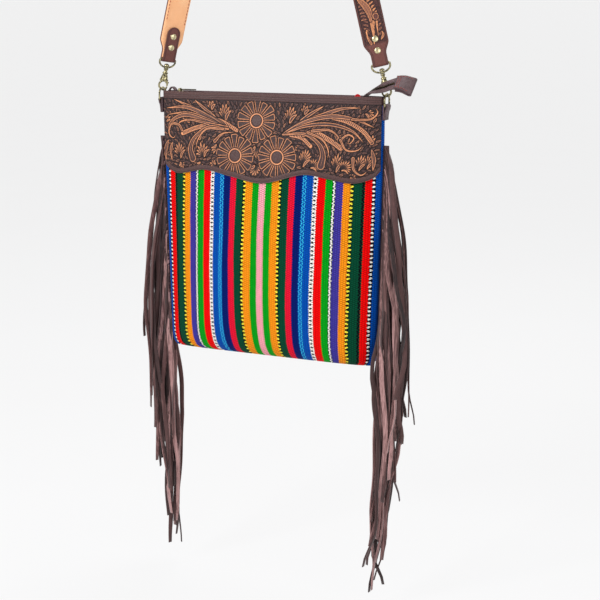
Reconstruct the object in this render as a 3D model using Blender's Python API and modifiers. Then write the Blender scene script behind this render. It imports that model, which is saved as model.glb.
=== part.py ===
"""Leather crossbody bag: a woven bag with a tooled leather yoke, a zip, a strap and long fringe.

The origin is the underside of the strap's highest point, where the bag hangs. +X is to the right
seen from the front, -Y is the front and +Z is up. Everything is laid out in the bag's own frame,
whose zero height is the bag's mouth.
"""

from collections import namedtuple
from math import cos, pi, radians, sin, sqrt

import bmesh
import bpy
from mathutils import Matrix, Vector

# Bag, in metres
BAG_WIDTH = 0.311
BAG_HEIGHT = 0.350
BAG_DEPTH = 0.084
CLOTH_WALL = 0.0022
CLOTH_END_WALL = 0.0035
SEAM_WIDTH = 0.0064
FIT_GAP = 0.0003
MOUTH_GAP = 0.0009
BODY_COLUMNS = 18

# Yokes
YOKE_THICKNESS = 0.0020
YOKE_DROP = 0.113
YOKE_RIM = 0.0008
YOKE_SEAT = 0.0006
BACK_YOKE_DROP = 0.098
YOKE_REACH = 0.985

# Zip and its tail
ZIP_RECESS = 0.0030
ZIP_INSET = 0.0145
FACING_THICKNESS = 0.0015
TAPE_THICKNESS = 0.0007
TAPE_WIDTH = 0.0110
CHAIN_WIDTH = 0.0042
CHAIN_HEIGHT = 0.0019
CHAIN_MARGIN = 0.0015
FACING_LEAST = 0.0006
TAIL_LENGTH = 0.0400
TAIL_RISE = 0.0190
TAIL_SWING = 0.0160
TAIL_WIDTH = 0.0230
TAIL_TWIST = 50.0
CAP_LENGTH = 0.0200
CAP_THICKNESS = 0.0014
CAP_OVERHANG = 0.0006
END_TAB_LENGTH = 0.0120
END_TAB_ARCH = 0.0062
END_TAB_INSET = 0.0085
END_TAB_WIDTH = 0.0110
SLIDER_LENGTH = 0.0080
SLIDER_WIDTH = 0.0074
SLIDER_HEIGHT = 0.0022
SLIDER_CORNER = 0.0008
SLIDER_INSET = 0.0230
SLIDER_PLACE = SLIDER_INSET - BAG_WIDTH / 2
PULLER_LENGTH = 0.0240
PULLER_WIDTH = 0.0064
PULLER_THICKNESS = 0.0012
PULLER_EYE = 0.0017
PULLER_NECK = 0.0012
PULLER_SHOULDER = 0.0030
PULLER_PIN = 0.0006
LUG_WIDTH = 0.0012
LUG_ROOT = 0.0006
LINING_PLACE = 0.0375
LINING_WIDTH = 0.0090
LINING_RISE = 0.0030
LINING_THICKNESS = 0.0009

# Rings, clasps and their tabs
RING_WIRE = 0.0012
RING_WIDTH = 0.0180
RING_HEIGHT = 0.0154
RING_TOP = 0.0045
RING_CORNER = 0.0022
TAB_LEATHER = 0.0016
TAB_WIDTH = 0.0140
TAB_DROP = 0.0170
CLASP_LEAN = 14.0
HOOK_WIRE = 0.0013
HOOK_WIDTH = 0.0118
HOOK_HEIGHT = 0.0112
HOOK_BAR = 0.0036
HOOK_BAR_LENGTH = 0.0108
HOOK_BAR_DEPTH = 0.0052
HOOK_BAR_RISE = 0.0054
HOOK_BODY_RADIUS = 0.0048
HOOK_BODY_LENGTH = 0.0150
HOOK_WIRE_ROOT = 0.0026
POST_RADIUS = 0.0011
HEAD_RADIUS = 0.0035
HEAD_HEIGHT = 0.0032
BOSS_RADIUS = 0.0030
BOSS_HEIGHT = 0.0032
LEVER_THICKNESS = 0.0016
LEVER_WIDTH = 0.0019
LEVER_EYE = 0.0018
LEVER_PIN = 0.0006
THUMB_REACH = 0.0016
THUMB_RIDGE = 0.0008
LOOP_WIRE = 0.0012
LOOP_WIDTH = 0.0232
LOOP_HEIGHT = 0.0110
LOOP_CORNER = 0.0020

# Strap
STRAP_DROP = 0.485
STRAP_WIDTH = 0.032
STRAP_FACE = 0.0020
STRAP_LINING = 0.0020
STRAP_GAP = 0.0005
NECK_WIDTH = 0.0200
NECK_LENGTH = 0.0110
SHOULDER_LENGTH = 0.0160
TONGUE_WIDTH = 0.0190
TONGUE_LENGTH = 0.0435
PEG_BEND = 0.0200
STRAP_END = 0.0010
RIVET_RADIUS = 0.0041
RIVET_POST = 0.0015
RIVET_CAP = 0.0013
RIVET_PLACES = {"lower": 0.0165, "upper": 0.0310}
STRAP_STATIONS = 30

# Fringe
FRINGE_TOP = 0.060
FRINGE_BOTTOM = 0.316
FRINGE_STRIPS = 17
FRINGE_LENGTH = 0.350
STRIP_WIDTH = 0.0056
STRIP_THICKNESS = 0.0013
STRIP_PITCH = 0.0020
HEADER_THICKNESS = 0.0022
FIRST_LANE = 0.0035
STRIP_SWAY = 0.0035
STRIP_WAVE = 0.0040
WAVES_PER_METRE = 16.0

SIDES = {"left": -1, "right": 1}

# Faces of the strap, as the direction they look in, measured from the front toward +X
FACE_AZIMUTH = {"left": 55.0, "right": 20.0, "peg": 36.0}

# Cross sections of the woven body: the drop, width and depth are shares of the bag's
BodyRow = namedtuple("BodyRow", "drop width depth fullness")
BODY_ROWS = [
    BodyRow(0.000, 1.000, 0.23, 7.0),
    BodyRow(0.050, 1.000, 0.28, 5.6),
    BodyRow(0.150, 0.998, 0.44, 3.8),
    BodyRow(0.300, 0.994, 0.65, 2.8),
    BodyRow(0.450, 0.988, 0.83, 2.6),
    BodyRow(0.600, 0.982, 0.95, 2.6),
    BodyRow(0.730, 0.977, 1.00, 2.8),
    BodyRow(0.830, 0.973, 0.97, 3.2),
    BodyRow(0.900, 0.970, 0.88, 3.8),
    BodyRow(0.950, 0.962, 0.72, 4.6),
    BodyRow(0.984, 0.932, 0.48, 5.4),
    BodyRow(1.000, 0.895, 0.24, 6.0),
]
BODY_CURVE = 0.80

# Lower edge of the front yoke: across is a share of the half width, drop of the yoke's drop
YokeRow = namedtuple("YokeRow", "across drop")
YOKE_ROWS = [
    YokeRow(-1.00, 0.80),
    YokeRow(-0.96, 0.88),
    YokeRow(-0.83, 0.950),
    YokeRow(-0.55, 0.885),
    YokeRow(-0.30, 0.940),
    YokeRow(0.00, 1.000),
    YokeRow(0.37, 0.880),
    YokeRow(0.60, 0.920),
    YokeRow(0.78, 0.955),
    YokeRow(0.94, 0.890),
    YokeRow(1.00, 0.780),
]

# The zip's tail: along, rise, swing to the front, width and twist are shares of the tail's
TailRow = namedtuple("TailRow", "along rise swing width twist")
TAIL_ROWS = [
    TailRow(-0.82, -0.16, 0.00, 0.000, 0.00),
    TailRow(-0.69, 0.00, 0.00, 0.000, 0.00),
    TailRow(-0.56, 0.19, 0.03, 0.020, 0.03),
    TailRow(-0.42, 0.36, 0.36, 0.200, 0.16),
    TailRow(-0.26, 0.51, 0.78, 0.440, 0.38),
    TailRow(-0.08, 0.62, 0.97, 0.660, 0.62),
    TailRow(0.15, 0.76, 1.02, 0.860, 0.72),
    TailRow(0.45, 0.97, 1.00, 1.000, 0.66),
    TailRow(0.75, 0.97, 0.96, 1.000, 0.80),
    TailRow(1.00, 0.80, 0.92, 1.000, 1.00),
]

# The hook's turned body: height is a share of the body's length, radius of the body's radius
TurnRow = namedtuple("TurnRow", "height radius")
HOOK_TURNS = [
    TurnRow(1.00, 0.54),
    TurnRow(0.93, 0.66),
    TurnRow(0.85, 0.46),
    TurnRow(0.72, 0.46),
    TurnRow(0.66, 0.76),
    TurnRow(0.59, 0.76),
    TurnRow(0.55, 0.60),
    TurnRow(0.33, 0.88),
    TurnRow(0.12, 1.00),
    TurnRow(0.00, 0.94),
]

Finish = namedtuple("Finish", "colour roughness metallic")
FINISHES = {
    "woven_cloth": Finish((0.45, 0.08, 0.10), 0.90, 0.0),
    "tooled_leather": Finish((0.10, 0.045, 0.03), 0.45, 0.0),
    "plain_leather": Finish((0.075, 0.035, 0.028), 0.50, 0.0),
    "tan_leather": Finish((0.66, 0.34, 0.15), 0.60, 0.0),
    "fringe_leather": Finish((0.085, 0.035, 0.028), 0.70, 0.0),
    "red_lining": Finish((0.75, 0.02, 0.03), 0.85, 0.0),
    "zip_cloth": Finish((0.05, 0.03, 0.025), 0.90, 0.0),
    "antique_brass": Finish((0.42, 0.39, 0.28), 0.35, 1.0),
}


def clear_scene():
    """Remove every object, so that the script starts from nothing."""
    for obj in list(bpy.data.objects):
        bpy.data.objects.remove(obj, do_unlink=True)


def new_collection(name):
    """Make a collection and link it to the scene."""
    collection = bpy.data.collections.new(name)
    bpy.context.scene.collection.children.link(collection)
    return collection


def finish_material(name):
    """Return the Principled material of a named finish, made on first use."""
    material = bpy.data.materials.get(name)
    if material is None:
        look = FINISHES[name]
        material = bpy.data.materials.new(name)
        material.use_nodes = True
        shader = material.node_tree.nodes["Principled BSDF"]
        shader.inputs["Base Color"].default_value = (*look.colour, 1.0)
        shader.inputs["Roughness"].default_value = look.roughness
        shader.inputs["Metallic"].default_value = look.metallic
        material.diffuse_color = (*look.colour, 1.0)
    return material


class Workshop:
    """Keeps the collections, the bag's frame and the way that a finished mesh becomes a part."""

    def __init__(self):
        self.parts = new_collection("leather_crossbody_bag")
        self.cutters = new_collection("cutters")
        self.bag_frame = self.empty("bag_frame", Matrix.Translation((0, 0, -STRAP_DROP)), None)

    def empty(self, name, matrix, parent):
        """Add an empty that carries parts, at a place in its parent's frame."""
        obj = bpy.data.objects.new(name, None)
        self.parts.objects.link(obj)
        obj.parent = parent
        obj.matrix_basis = matrix
        return obj

    def part(self, name, mesh, finish, parent=None, smooth=35.0):
        """Turn a mesh into a named part under the bag's frame, or under another empty."""
        obj = bpy.data.objects.new(name, mesh)
        self.parts.objects.link(obj)
        obj.parent = parent or self.bag_frame
        mesh.materials.clear()
        mesh.materials.append(finish_material(finish))
        mesh.shade_smooth()
        mesh.set_sharp_from_angle(angle=radians(smooth))
        return obj

    def tool(self, name, mesh, parent=None):
        """Turn a mesh into a cutter or a joining piece, which is left out of the build."""
        obj = bpy.data.objects.new(name, mesh)
        self.cutters.objects.link(obj)
        obj.parent = parent or self.bag_frame
        obj.hide_render = True
        obj.display_type = "WIRE"
        return obj

    def combine(self, target, tool, operation):
        """Join a tool to a part, or cut the part with it."""
        modifier = target.modifiers.new(tool.name, "BOOLEAN")
        modifier.object = tool
        modifier.operation = operation


def mesh_from(work, name):
    """Close a bmesh into mesh data with its faces pointing out."""
    bmesh.ops.recalc_face_normals(work, faces=work.faces)
    mesh = bpy.data.meshes.new(name)
    work.to_mesh(mesh)
    work.free()
    return mesh


def loft(name, rings):
    """Skin a solid through rings of corners, with a flat cap at each end.

    Each side is split along the diagonal that its opposite side has, so that strips laid on each
    other stay parallel where they twist.
    """
    work = bmesh.new()
    loops = [[work.verts.new(corner) for corner in ring] for ring in rings]
    size = len(rings[0])
    for first, second in zip(loops, loops[1:]):
        for corner in range(size):
            following = (corner + 1) % size
            quad = (first[corner], first[following], second[following], second[corner])
            shift = 0 if corner < size / 2 else 1
            for ends in ((0, 1, 2), (0, 2, 3)):
                work.faces.new([quad[(shift + end) % 4] for end in ends])
    work.faces.new(list(reversed(loops[0])))
    work.faces.new(loops[-1])
    return mesh_from(work, name)


def sheet_solid(name, front, back):
    """Join two grids of points, one behind the other, into one thin solid."""
    work = bmesh.new()
    rows, columns = len(front), len(front[0])
    grids = [[[work.verts.new(point) for point in row] for row in grid] for grid in (front, back)]
    for grid in grids:
        for row in range(rows - 1):
            for column in range(columns - 1):
                work.faces.new((grid[row][column], grid[row][column + 1],
                                grid[row + 1][column + 1], grid[row + 1][column]))
    rim = [(0, column) for column in range(columns)]
    rim += [(row, columns - 1) for row in range(1, rows)]
    rim += [(rows - 1, column) for column in range(columns - 2, -1, -1)]
    rim += [(row, 0) for row in range(rows - 2, 0, -1)]
    for start, end in zip(rim, rim[1:] + rim[:1]):
        work.faces.new((grids[0][start[0]][start[1]], grids[0][end[0]][end[1]],
                        grids[1][end[0]][end[1]], grids[1][start[0]][start[1]]))
    return mesh_from(work, name)


def box_mesh(name, size, centre=(0, 0, 0)):
    """A box from its size and centre."""
    work = bmesh.new()
    matrix = Matrix.Translation(centre) @ Matrix.Diagonal((*size, 1.0))
    bmesh.ops.create_cube(work, size=1.0, matrix=matrix)
    return mesh_from(work, name)


def rod_mesh(name, radius, length, axis, centre=(0, 0, 0), sides=14):
    """A round rod from its radius, length, axis and centre."""
    work = bmesh.new()
    turn = Vector((0, 0, 1)).rotation_difference(Vector(axis)).to_matrix().to_4x4()
    bmesh.ops.create_cone(work, cap_ends=True, segments=sides, radius1=radius, radius2=radius,
                          depth=length, matrix=Matrix.Translation(centre) @ turn)
    return mesh_from(work, name)


def evaluated_mesh(obj):
    """Apply a construction object's modifiers or curve, weld it and remove the object."""
    graph = bpy.context.evaluated_depsgraph_get()
    mesh = bpy.data.meshes.new_from_object(obj.evaluated_get(graph))
    work = bmesh.new()
    work.from_mesh(mesh)
    bmesh.ops.remove_doubles(work, verts=work.verts, dist=0.00001)
    work.to_mesh(mesh)
    work.free()
    bpy.data.objects.remove(obj, do_unlink=True)
    return mesh


def wire_mesh(name, points, radius, cyclic=False, resolution=2):
    """A round wire of one radius along a list of points."""
    curve = bpy.data.curves.new(name, "CURVE")
    curve.dimensions = "3D"
    curve.bevel_depth = radius
    curve.bevel_resolution = resolution
    curve.use_fill_caps = True
    spline = curve.splines.new("POLY")
    spline.points.add(len(points) - 1)
    for point, place in zip(spline.points, points):
        point.co = (*place, 1.0)
    spline.use_cyclic_u = cyclic
    obj = bpy.data.objects.new(name, curve)
    bpy.context.scene.collection.objects.link(obj)
    return evaluated_mesh(obj)


def flat_mesh(name, outlines, thickness):
    """A flat plate in the XY plane from an outline and the outlines of its holes."""
    curve = bpy.data.curves.new(name, "CURVE")
    curve.dimensions = "2D"
    curve.fill_mode = "BOTH"
    curve.extrude = thickness / 2
    for outline in outlines:
        spline = curve.splines.new("POLY")
        spline.points.add(len(outline) - 1)
        for point, (x, y) in zip(spline.points, outline):
            point.co = (x, y, 0, 1.0)
        spline.use_cyclic_u = True
    obj = bpy.data.objects.new(name, curve)
    bpy.context.scene.collection.objects.link(obj)
    return evaluated_mesh(obj)


def turned_mesh(name, profile, steps):
    """A solid turned about Z from a profile that runs down its outer side."""
    work = bmesh.new()
    points = [work.verts.new((radius, 0, height)) for radius, height in profile]
    for upper, lower in zip(points, points[1:]):
        work.edges.new((upper, lower))
    mesh = bpy.data.meshes.new(name)
    work.to_mesh(mesh)
    work.free()
    obj = bpy.data.objects.new(name, mesh)
    bpy.context.scene.collection.objects.link(obj)
    screw = obj.modifiers.new("turn", "SCREW")
    screw.steps = screw.render_steps = steps
    screw.use_merge_vertices = True
    screw.merge_threshold = 0.00001
    return evaluated_mesh(obj)


def arc(centre, radius, start, end, steps):
    """Points on an arc in a plane, from one angle to another in degrees."""
    angles = [radians(start + (end - start) * step / steps) for step in range(steps + 1)]
    return [(centre[0] + radius * cos(angle), centre[1] + radius * sin(angle))
            for angle in angles]


def mix(first, second, share):
    """Blend two values."""
    return first + (second - first) * share


def smooth_share(value):
    """An eased share, held between 0 and 1."""
    value = min(max(value, 0.0), 1.0)
    return value * value * (3 - 2 * value)


def table_row(rows, place):
    """Read a table smoothly at a place in its first column, by cubic curves through its rows."""
    index = 0
    while index < len(rows) - 2 and place > rows[index + 1][0]:
        index += 1
    low, high = rows[index], rows[index + 1]
    before, after = rows[max(index - 1, 0)], rows[min(index + 2, len(rows) - 1)]
    span = high[0] - low[0]
    share = min(max((place - low[0]) / span, 0.0), 1.0)
    values = []
    for column in range(len(low)):
        start = (high[column] - before[column]) / (high[0] - before[0]) * span
        end = (after[column] - low[column]) / (after[0] - low[0]) * span
        change = high[column] - low[column]
        values.append(low[column] + share * (start + share * (3 * change - 2 * start - end
                      + share * (start + end - 2 * change))))
    return type(low)(*values)


def body_section(drop):
    """Half width, half depth and fullness of the woven body at a drop below the mouth."""
    row = table_row(BODY_ROWS, max(drop, 0.0) / BAG_HEIGHT)
    return row.width * BAG_WIDTH / 2, row.depth * BAG_DEPTH / 2, row.fullness


def body_half_depth(across, drop, wall=0.0):
    """Half depth of the body's skin, or of a skin inside it, at a share across and a drop."""
    _, half_depth, fullness = body_section(drop)
    seam = SEAM_WIDTH / 2 - wall
    bulge = max(1 - abs(across) ** fullness, 0.0) ** BODY_CURVE
    return seam + (half_depth - SEAM_WIDTH / 2) * bulge


def body_point(across, drop, side=-1):
    """A point on the body's outer skin; side -1 is the front."""
    half_width = body_section(drop)[0]
    return Vector((half_width * across, side * body_half_depth(across, drop), -drop))


def skin_point(across, drop, lift, side=-1):
    """A point lifted off the body's skin along its own normal."""
    step = 0.002
    across = min(max(across, -1 + step), 1 - step)
    here = body_point(across, drop, side)
    along = body_point(across + step, drop, side) - body_point(across - step, drop, side)
    above = max(drop - step / 2, 0)
    down = body_point(across, drop + step / 2, side) - body_point(across, above, side)
    normal = along.cross(down).normalized()
    if normal.y * side < 0:
        normal.negate()
    return here + normal * lift


def body_ring(drop, wall):
    """One ring of the body, front from left to right and back again, inside by a wall."""
    half_width = body_section(drop)[0] - wall * CLOTH_END_WALL / CLOTH_WALL
    shares = [sin(pi / 2 * (2 * column / BODY_COLUMNS - 1)) for column in range(BODY_COLUMNS + 1)]
    front = [Vector((half_width * share, -body_half_depth(share, drop, wall), -drop))
             for share in shares]
    back = [Vector((half_width * share, body_half_depth(share, drop, wall), -drop))
            for share in reversed(shares)]
    return front + back


def make_body(shop):
    """The woven body: an outer and an inner skin, open at the mouth and closed at the bottom."""
    drops = [row.drop * BAG_HEIGHT for row in BODY_ROWS]
    drops.insert(5, mix(drops[4], drops[5], 0.5))
    work = bmesh.new()
    skins = []
    for wall in (0.0, CLOTH_WALL):
        rings = []
        for drop in drops:
            height = min(drop, BAG_HEIGHT - wall)
            ring = body_ring(drop, wall)
            rings.append([work.verts.new((point.x, point.y, -height)) for point in ring])
        skins.append(rings)
    size = len(skins[0][0])
    for rings in skins:
        for upper, lower in zip(rings, rings[1:]):
            for corner in range(size):
                following = (corner + 1) % size
                work.faces.new((upper[corner], upper[following], lower[following], lower[corner]))
        last = rings[-1]
        for column in range(BODY_COLUMNS):
            work.faces.new((last[column], last[column + 1],
                            last[size - 2 - column], last[size - 1 - column]))
    for corner in range(size):
        following = (corner + 1) % size
        work.faces.new((skins[0][0][corner], skins[0][0][following],
                        skins[1][0][following], skins[1][0][corner]))
    shop.part("bag_body", mesh_from(work, "bag_body"), "woven_cloth")


def yoke_edge(across):
    """Drop of the front yoke's scalloped edge at a share across the bag."""
    return table_row(YOKE_ROWS, across).drop * YOKE_DROP


def make_yokes(shop):
    """The tooled front yoke with its scalloped edge, and the plain straight back yoke."""
    layouts = {
        "front_yoke": (-1, 30, 4, "tooled_leather", yoke_edge),
        "back_yoke": (1, 26, 4, "plain_leather", lambda across: BACK_YOKE_DROP),
    }
    for name, (side, columns, rows, finish, edge) in layouts.items():
        shares = [YOKE_REACH * sin(pi / 2 * (2 * column / columns - 1))
                  for column in range(columns + 1)]
        skins = []
        for lift in (YOKE_SEAT, YOKE_SEAT + YOKE_THICKNESS):
            grid = []
            for row in range(rows + 1):
                line = []
                for across in shares:
                    drop = edge(across) * row / rows
                    point = skin_point(across, drop, lift, side)
                    if row == 0:
                        point.z = YOKE_RIM
                    line.append(point)
                grid.append(line)
            skins.append(grid)
        shop.part(name, sheet_solid(name, skins[1], skins[0]), finish)


def mouth_half(x, drop):
    """Half the clear depth of the mouth at a place along the bag."""
    across = min(abs(x) / (body_section(drop)[0] - CLOTH_END_WALL), 1.0)
    return body_half_depth(across, drop, CLOTH_WALL)


def zip_frame(x):
    """Centre, direction across, normal and half width of the zip panel at a place along it."""
    end = BAG_WIDTH / 2
    along = (x - end) / TAIL_LENGTH
    if along < TAIL_ROWS[0].along:
        centre = Vector((x, 0, -ZIP_RECESS))
        half = mouth_half(x, ZIP_RECESS) - MOUTH_GAP
        return centre, Vector((0, 1, 0)), Vector((0, 0, 1)), half
    row = table_row(TAIL_ROWS, along)
    exit_x = end + TAIL_ROWS[2].along * TAIL_LENGTH
    narrow = mouth_half(min(x, exit_x), ZIP_RECESS) - MOUTH_GAP
    centre = Vector((x, -row.swing * TAIL_SWING, row.rise * TAIL_RISE))
    half = mix(narrow, TAIL_WIDTH / 2, row.width)
    twist = radians(row.twist * TAIL_TWIST)
    step = 0.05
    ahead, behind = table_row(TAIL_ROWS, along + step), table_row(TAIL_ROWS, along - step)
    run = Vector((2 * step * TAIL_LENGTH, -(ahead.swing - behind.swing) * TAIL_SWING,
                  (ahead.rise - behind.rise) * TAIL_RISE)).normalized()
    across = Vector((0, cos(twist), sin(twist)))
    across = (across - run * across.dot(run)).normalized()
    return centre, across, run.cross(across), half


def zip_places(start, end, count):
    """Places along the zip panel, evenly spaced."""
    return [mix(start, end, step / count) for step in range(count + 1)]


def zip_strip(name, places, spread, low, high):
    """Loft a strip of the zip panel; spread gives its two edges for a panel half width."""
    rings = []
    for x in places:
        centre, across, normal, half = zip_frame(x)
        near, far = spread(half)
        rings.append([centre + across * near + normal * low, centre + across * far + normal * low,
                      centre + across * far + normal * high, centre + across * near + normal * high])
    return loft(name, rings)


def zip_stations(start, end):
    """Few stations along the straight mouth and more along the curved tail."""
    bend = BAG_WIDTH / 2 + TAIL_ROWS[0].along * TAIL_LENGTH
    return zip_places(start, bend, 8)[:-1] + zip_places(bend, end, 17)


def make_zip(shop):
    """The zip: two leather facings, its tape and teeth, the slider, the puller and both ends."""
    left = -BAG_WIDTH / 2 + ZIP_INSET
    right = BAG_WIDTH / 2 + TAIL_LENGTH
    slot = CHAIN_WIDTH / 2 + FIT_GAP
    facings = {"zip_facing_front": -1, "zip_facing_back": 1}
    for name, side in facings.items():
        def spread(half, side=side):
            return sorted((side * slot, side * max(half, slot + FACING_LEAST)))
        mesh = zip_strip(name, zip_stations(left, right), spread,
                         -FACING_THICKNESS / 2, FACING_THICKNESS / 2)
        shop.part(name, mesh, "plain_leather")
    tape_top = -FACING_THICKNESS / 2 - FIT_GAP
    mesh = zip_strip("zip_tape", zip_stations(left, right),
                     lambda half: (-min(TAPE_WIDTH / 2, half), min(TAPE_WIDTH / 2, half)),
                     tape_top - TAPE_THICKNESS, tape_top)
    shop.part("zip_tape", mesh, "zip_cloth")
    chain_low = tape_top + FIT_GAP
    mesh = zip_strip("zip_teeth", zip_stations(left + CHAIN_MARGIN, right - CHAIN_MARGIN),
                     lambda half: (-CHAIN_WIDTH / 2, CHAIN_WIDTH / 2),
                     chain_low, chain_low + CHAIN_HEIGHT)
    shop.part("zip_teeth", mesh, "antique_brass")
    make_tail_cap(shop, right)
    make_end_tab(shop, left)
    make_slider(shop, chain_low + CHAIN_HEIGHT - ZIP_RECESS)


def folded_ring(centre, across, normal, half, low, high):
    """Four corners of a strip's section between two heights over the zip panel."""
    return [centre - across * half + normal * low, centre + across * half + normal * low,
            centre + across * half + normal * high, centre - across * half + normal * high]


def make_tail_cap(shop, end):
    """The leather patch folded over the tail's end, open toward the bag."""
    under = -FACING_THICKNESS / 2 - 2 * FIT_GAP - TAPE_THICKNESS
    over = -FACING_THICKNESS / 2 + CHAIN_HEIGHT + FIT_GAP
    middle = (over + under) / 2
    reach = (over - under) / 2
    half = TAIL_WIDTH / 2 + CAP_OVERHANG
    rings = []
    for x in zip_places(end - CAP_LENGTH, end, 5):
        centre, across, normal, _ = zip_frame(x)
        rings.append(folded_ring(centre, across, normal, half, over, over + CAP_THICKNESS))
    centre, across, normal, _ = zip_frame(end)
    run = across.cross(normal)
    pivot = centre + run * FIT_GAP
    for angle in (60, 30, 0, -30, -60):
        out = normal * sin(radians(angle)) + run * cos(radians(angle))
        near = pivot + normal * middle + out * reach
        rings.append([near - across * half, near + across * half,
                      near + out * CAP_THICKNESS + across * half,
                      near + out * CAP_THICKNESS - across * half])
    for x in reversed(zip_places(end - CAP_LENGTH, end, 5)):
        centre, across, normal, _ = zip_frame(x)
        rings.append(folded_ring(centre, across, normal, half, under, under - CAP_THICKNESS))
    shop.part("zip_tail_cap", loft("zip_tail_cap", rings), "plain_leather")


def make_end_tab(shop, start):
    """The leather fold over the zip's left end, which arches up out of the mouth."""
    top = -ZIP_RECESS - FACING_THICKNESS / 2 + CHAIN_HEIGHT + FIT_GAP
    rings = []
    steps = 8
    for step in range(steps + 1):
        share = step / steps
        x = start - END_TAB_INSET + END_TAB_LENGTH * share
        height = top + END_TAB_ARCH * sin(pi * share) ** 0.7
        half = min(mouth_half(x, 0.0) - 2 * FIT_GAP, END_TAB_WIDTH / 2)
        rings.append(folded_ring(Vector((x, 0, 0)), Vector((0, 1, 0)), Vector((0, 0, 1)),
                                 half, height, height + CAP_THICKNESS))
    shop.part("zip_end_tab", loft("zip_end_tab", rings), "plain_leather")


def make_slider(shop, teeth_top):
    """The slider on the teeth, with two lugs and a pin, and the puller that turns on the pin."""
    base = teeth_top + FIT_GAP
    top = base + SLIDER_HEIGHT
    pin_height = top + PULLER_EYE + FIT_GAP
    lug_place = PULLER_THICKNESS + FIT_GAP + LUG_WIDTH / 2
    slider = shop.part("zip_slider", box_mesh(
        "zip_slider", (SLIDER_LENGTH, SLIDER_WIDTH, SLIDER_HEIGHT),
        (SLIDER_PLACE, 0, (base + top) / 2)), "antique_brass")
    bevel = slider.modifiers.new("corners", "BEVEL")
    bevel.width = SLIDER_CORNER
    bevel.segments = 1
    for side in (-1, 1):
        root = top - pin_height - LUG_ROOT
        outline = arc((0, 0), PULLER_EYE, -20, 200, 8)
        outline += [(-PULLER_EYE, root), (PULLER_EYE, root)]
        lug = flat_mesh("lug", [outline], LUG_WIDTH)
        lug.transform(Matrix.Translation((SLIDER_PLACE, side * lug_place, pin_height))
                      @ Matrix.Rotation(pi / 2, 4, "X"))
        shop.combine(slider, shop.tool("slider_lug_%+d" % side, lug), "UNION")
    pin = rod_mesh("pin", PULLER_PIN, 2 * lug_place, (0, 1, 0), (SLIDER_PLACE, 0, pin_height), 10)
    shop.combine(slider, shop.tool("slider_pin", pin), "UNION")
    axis = shop.empty("puller_axis", Matrix.Translation((SLIDER_PLACE, 0, pin_height)),
                      shop.bag_frame)
    neck = PULLER_THICKNESS
    start = PULLER_EYE + PULLER_NECK
    wide = start + PULLER_SHOULDER
    end = PULLER_LENGTH - PULLER_WIDTH / 2
    outline = [(PULLER_PIN + 2 * FIT_GAP, -neck), (start, -neck), (wide, -PULLER_WIDTH / 2)]
    outline += arc((end, 0), PULLER_WIDTH / 2, -90, 90, 10)
    outline += [(wide, PULLER_WIDTH / 2), (start, neck), (PULLER_PIN + 2 * FIT_GAP, neck)]
    hole = arc((end, 0), PULLER_WIDTH / 4, 180, -150, 11)
    puller = shop.part("zip_puller", flat_mesh("zip_puller", [outline, hole], PULLER_THICKNESS),
                       "antique_brass", axis)
    eye = rod_mesh("eye", PULLER_EYE, 2 * neck, (0, 1, 0), sides=14)
    bore = rod_mesh("bore", PULLER_PIN + FIT_GAP, 4 * neck, (0, 1, 0), sides=14)
    shop.combine(puller, shop.tool("puller_eye", eye, axis), "UNION")
    shop.combine(puller, shop.tool("puller_bore", bore, axis), "DIFFERENCE")


def make_lining_corner(shop):
    """The folded bit of red lining that shows beside the zip, where the tail leaves the mouth."""
    x = BAG_WIDTH / 2 - LINING_PLACE
    back = mouth_half(x, 0.0) - MOUTH_GAP
    foot = FACING_THICKNESS / 2 + FIT_GAP - ZIP_RECESS
    rings = []
    for share in (0.0, 0.2, 0.5, 0.8, 1.0):
        place = x + mix(-LINING_WIDTH, LINING_WIDTH, share) / 2
        height = mix(foot, LINING_RISE, 0.1 + 0.9 * sin(pi * share) ** 0.6)
        middle = Vector((place, back - LINING_THICKNESS / 2, 0))
        rings.append(folded_ring(middle, Vector((0, 1, 0)), Vector((0, 0, 1)),
                                 LINING_THICKNESS / 2, foot, height))
    shop.part("lining_corner", loft("lining_corner", rings), "red_lining")


def ring_place(side):
    """The middle of a D ring's straight bar, beside the bag's side seam."""
    fold = RING_WIRE + FIT_GAP + TAB_LEATHER
    return Vector((side * (BAG_WIDTH / 2 + FIT_GAP + fold), 0, RING_TOP - RING_HEIGHT))


def make_ring(shop, name, side):
    """A D ring in the bag's side plane, and the leather tab that holds its straight bar."""
    half = RING_WIDTH / 2
    crown = half * 0.86
    outline = arc((half - RING_CORNER, RING_CORNER), RING_CORNER, -90, 0, 2)
    outline += [(half * cos(radians(angle)), RING_HEIGHT - crown + crown * sin(radians(angle)))
                for angle in range(0, 181, 20)]
    outline += arc((-half + RING_CORNER, RING_CORNER), RING_CORNER, 180, 270, 2)
    bar = ring_place(side)
    points = [(bar.x, across, bar.z + rise) for across, rise in outline]
    shop.part("d_ring_" + name, wire_mesh("d_ring", points, RING_WIRE, cyclic=True),
              "antique_brass")
    inner = RING_WIRE + FIT_GAP
    outer = inner + TAB_LEATHER
    foot = TAB_LEATHER * 1.15
    outline = arc((0, 0), outer, 0, 180, 10) + [(-outer, -TAB_DROP), (foot, -TAB_DROP)]
    if side < 0:
        outline = [(-x, y) for x, y in reversed(outline)]
    tab = flat_mesh("ring_tab", [outline, arc((0, 0), inner, 0, -330, 11)], TAB_WIDTH)
    tab.transform(Matrix.Translation(bar) @ Matrix.Rotation(pi / 2, 4, "X"))
    shop.part("ring_tab_" + name, tab, "plain_leather")


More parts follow.
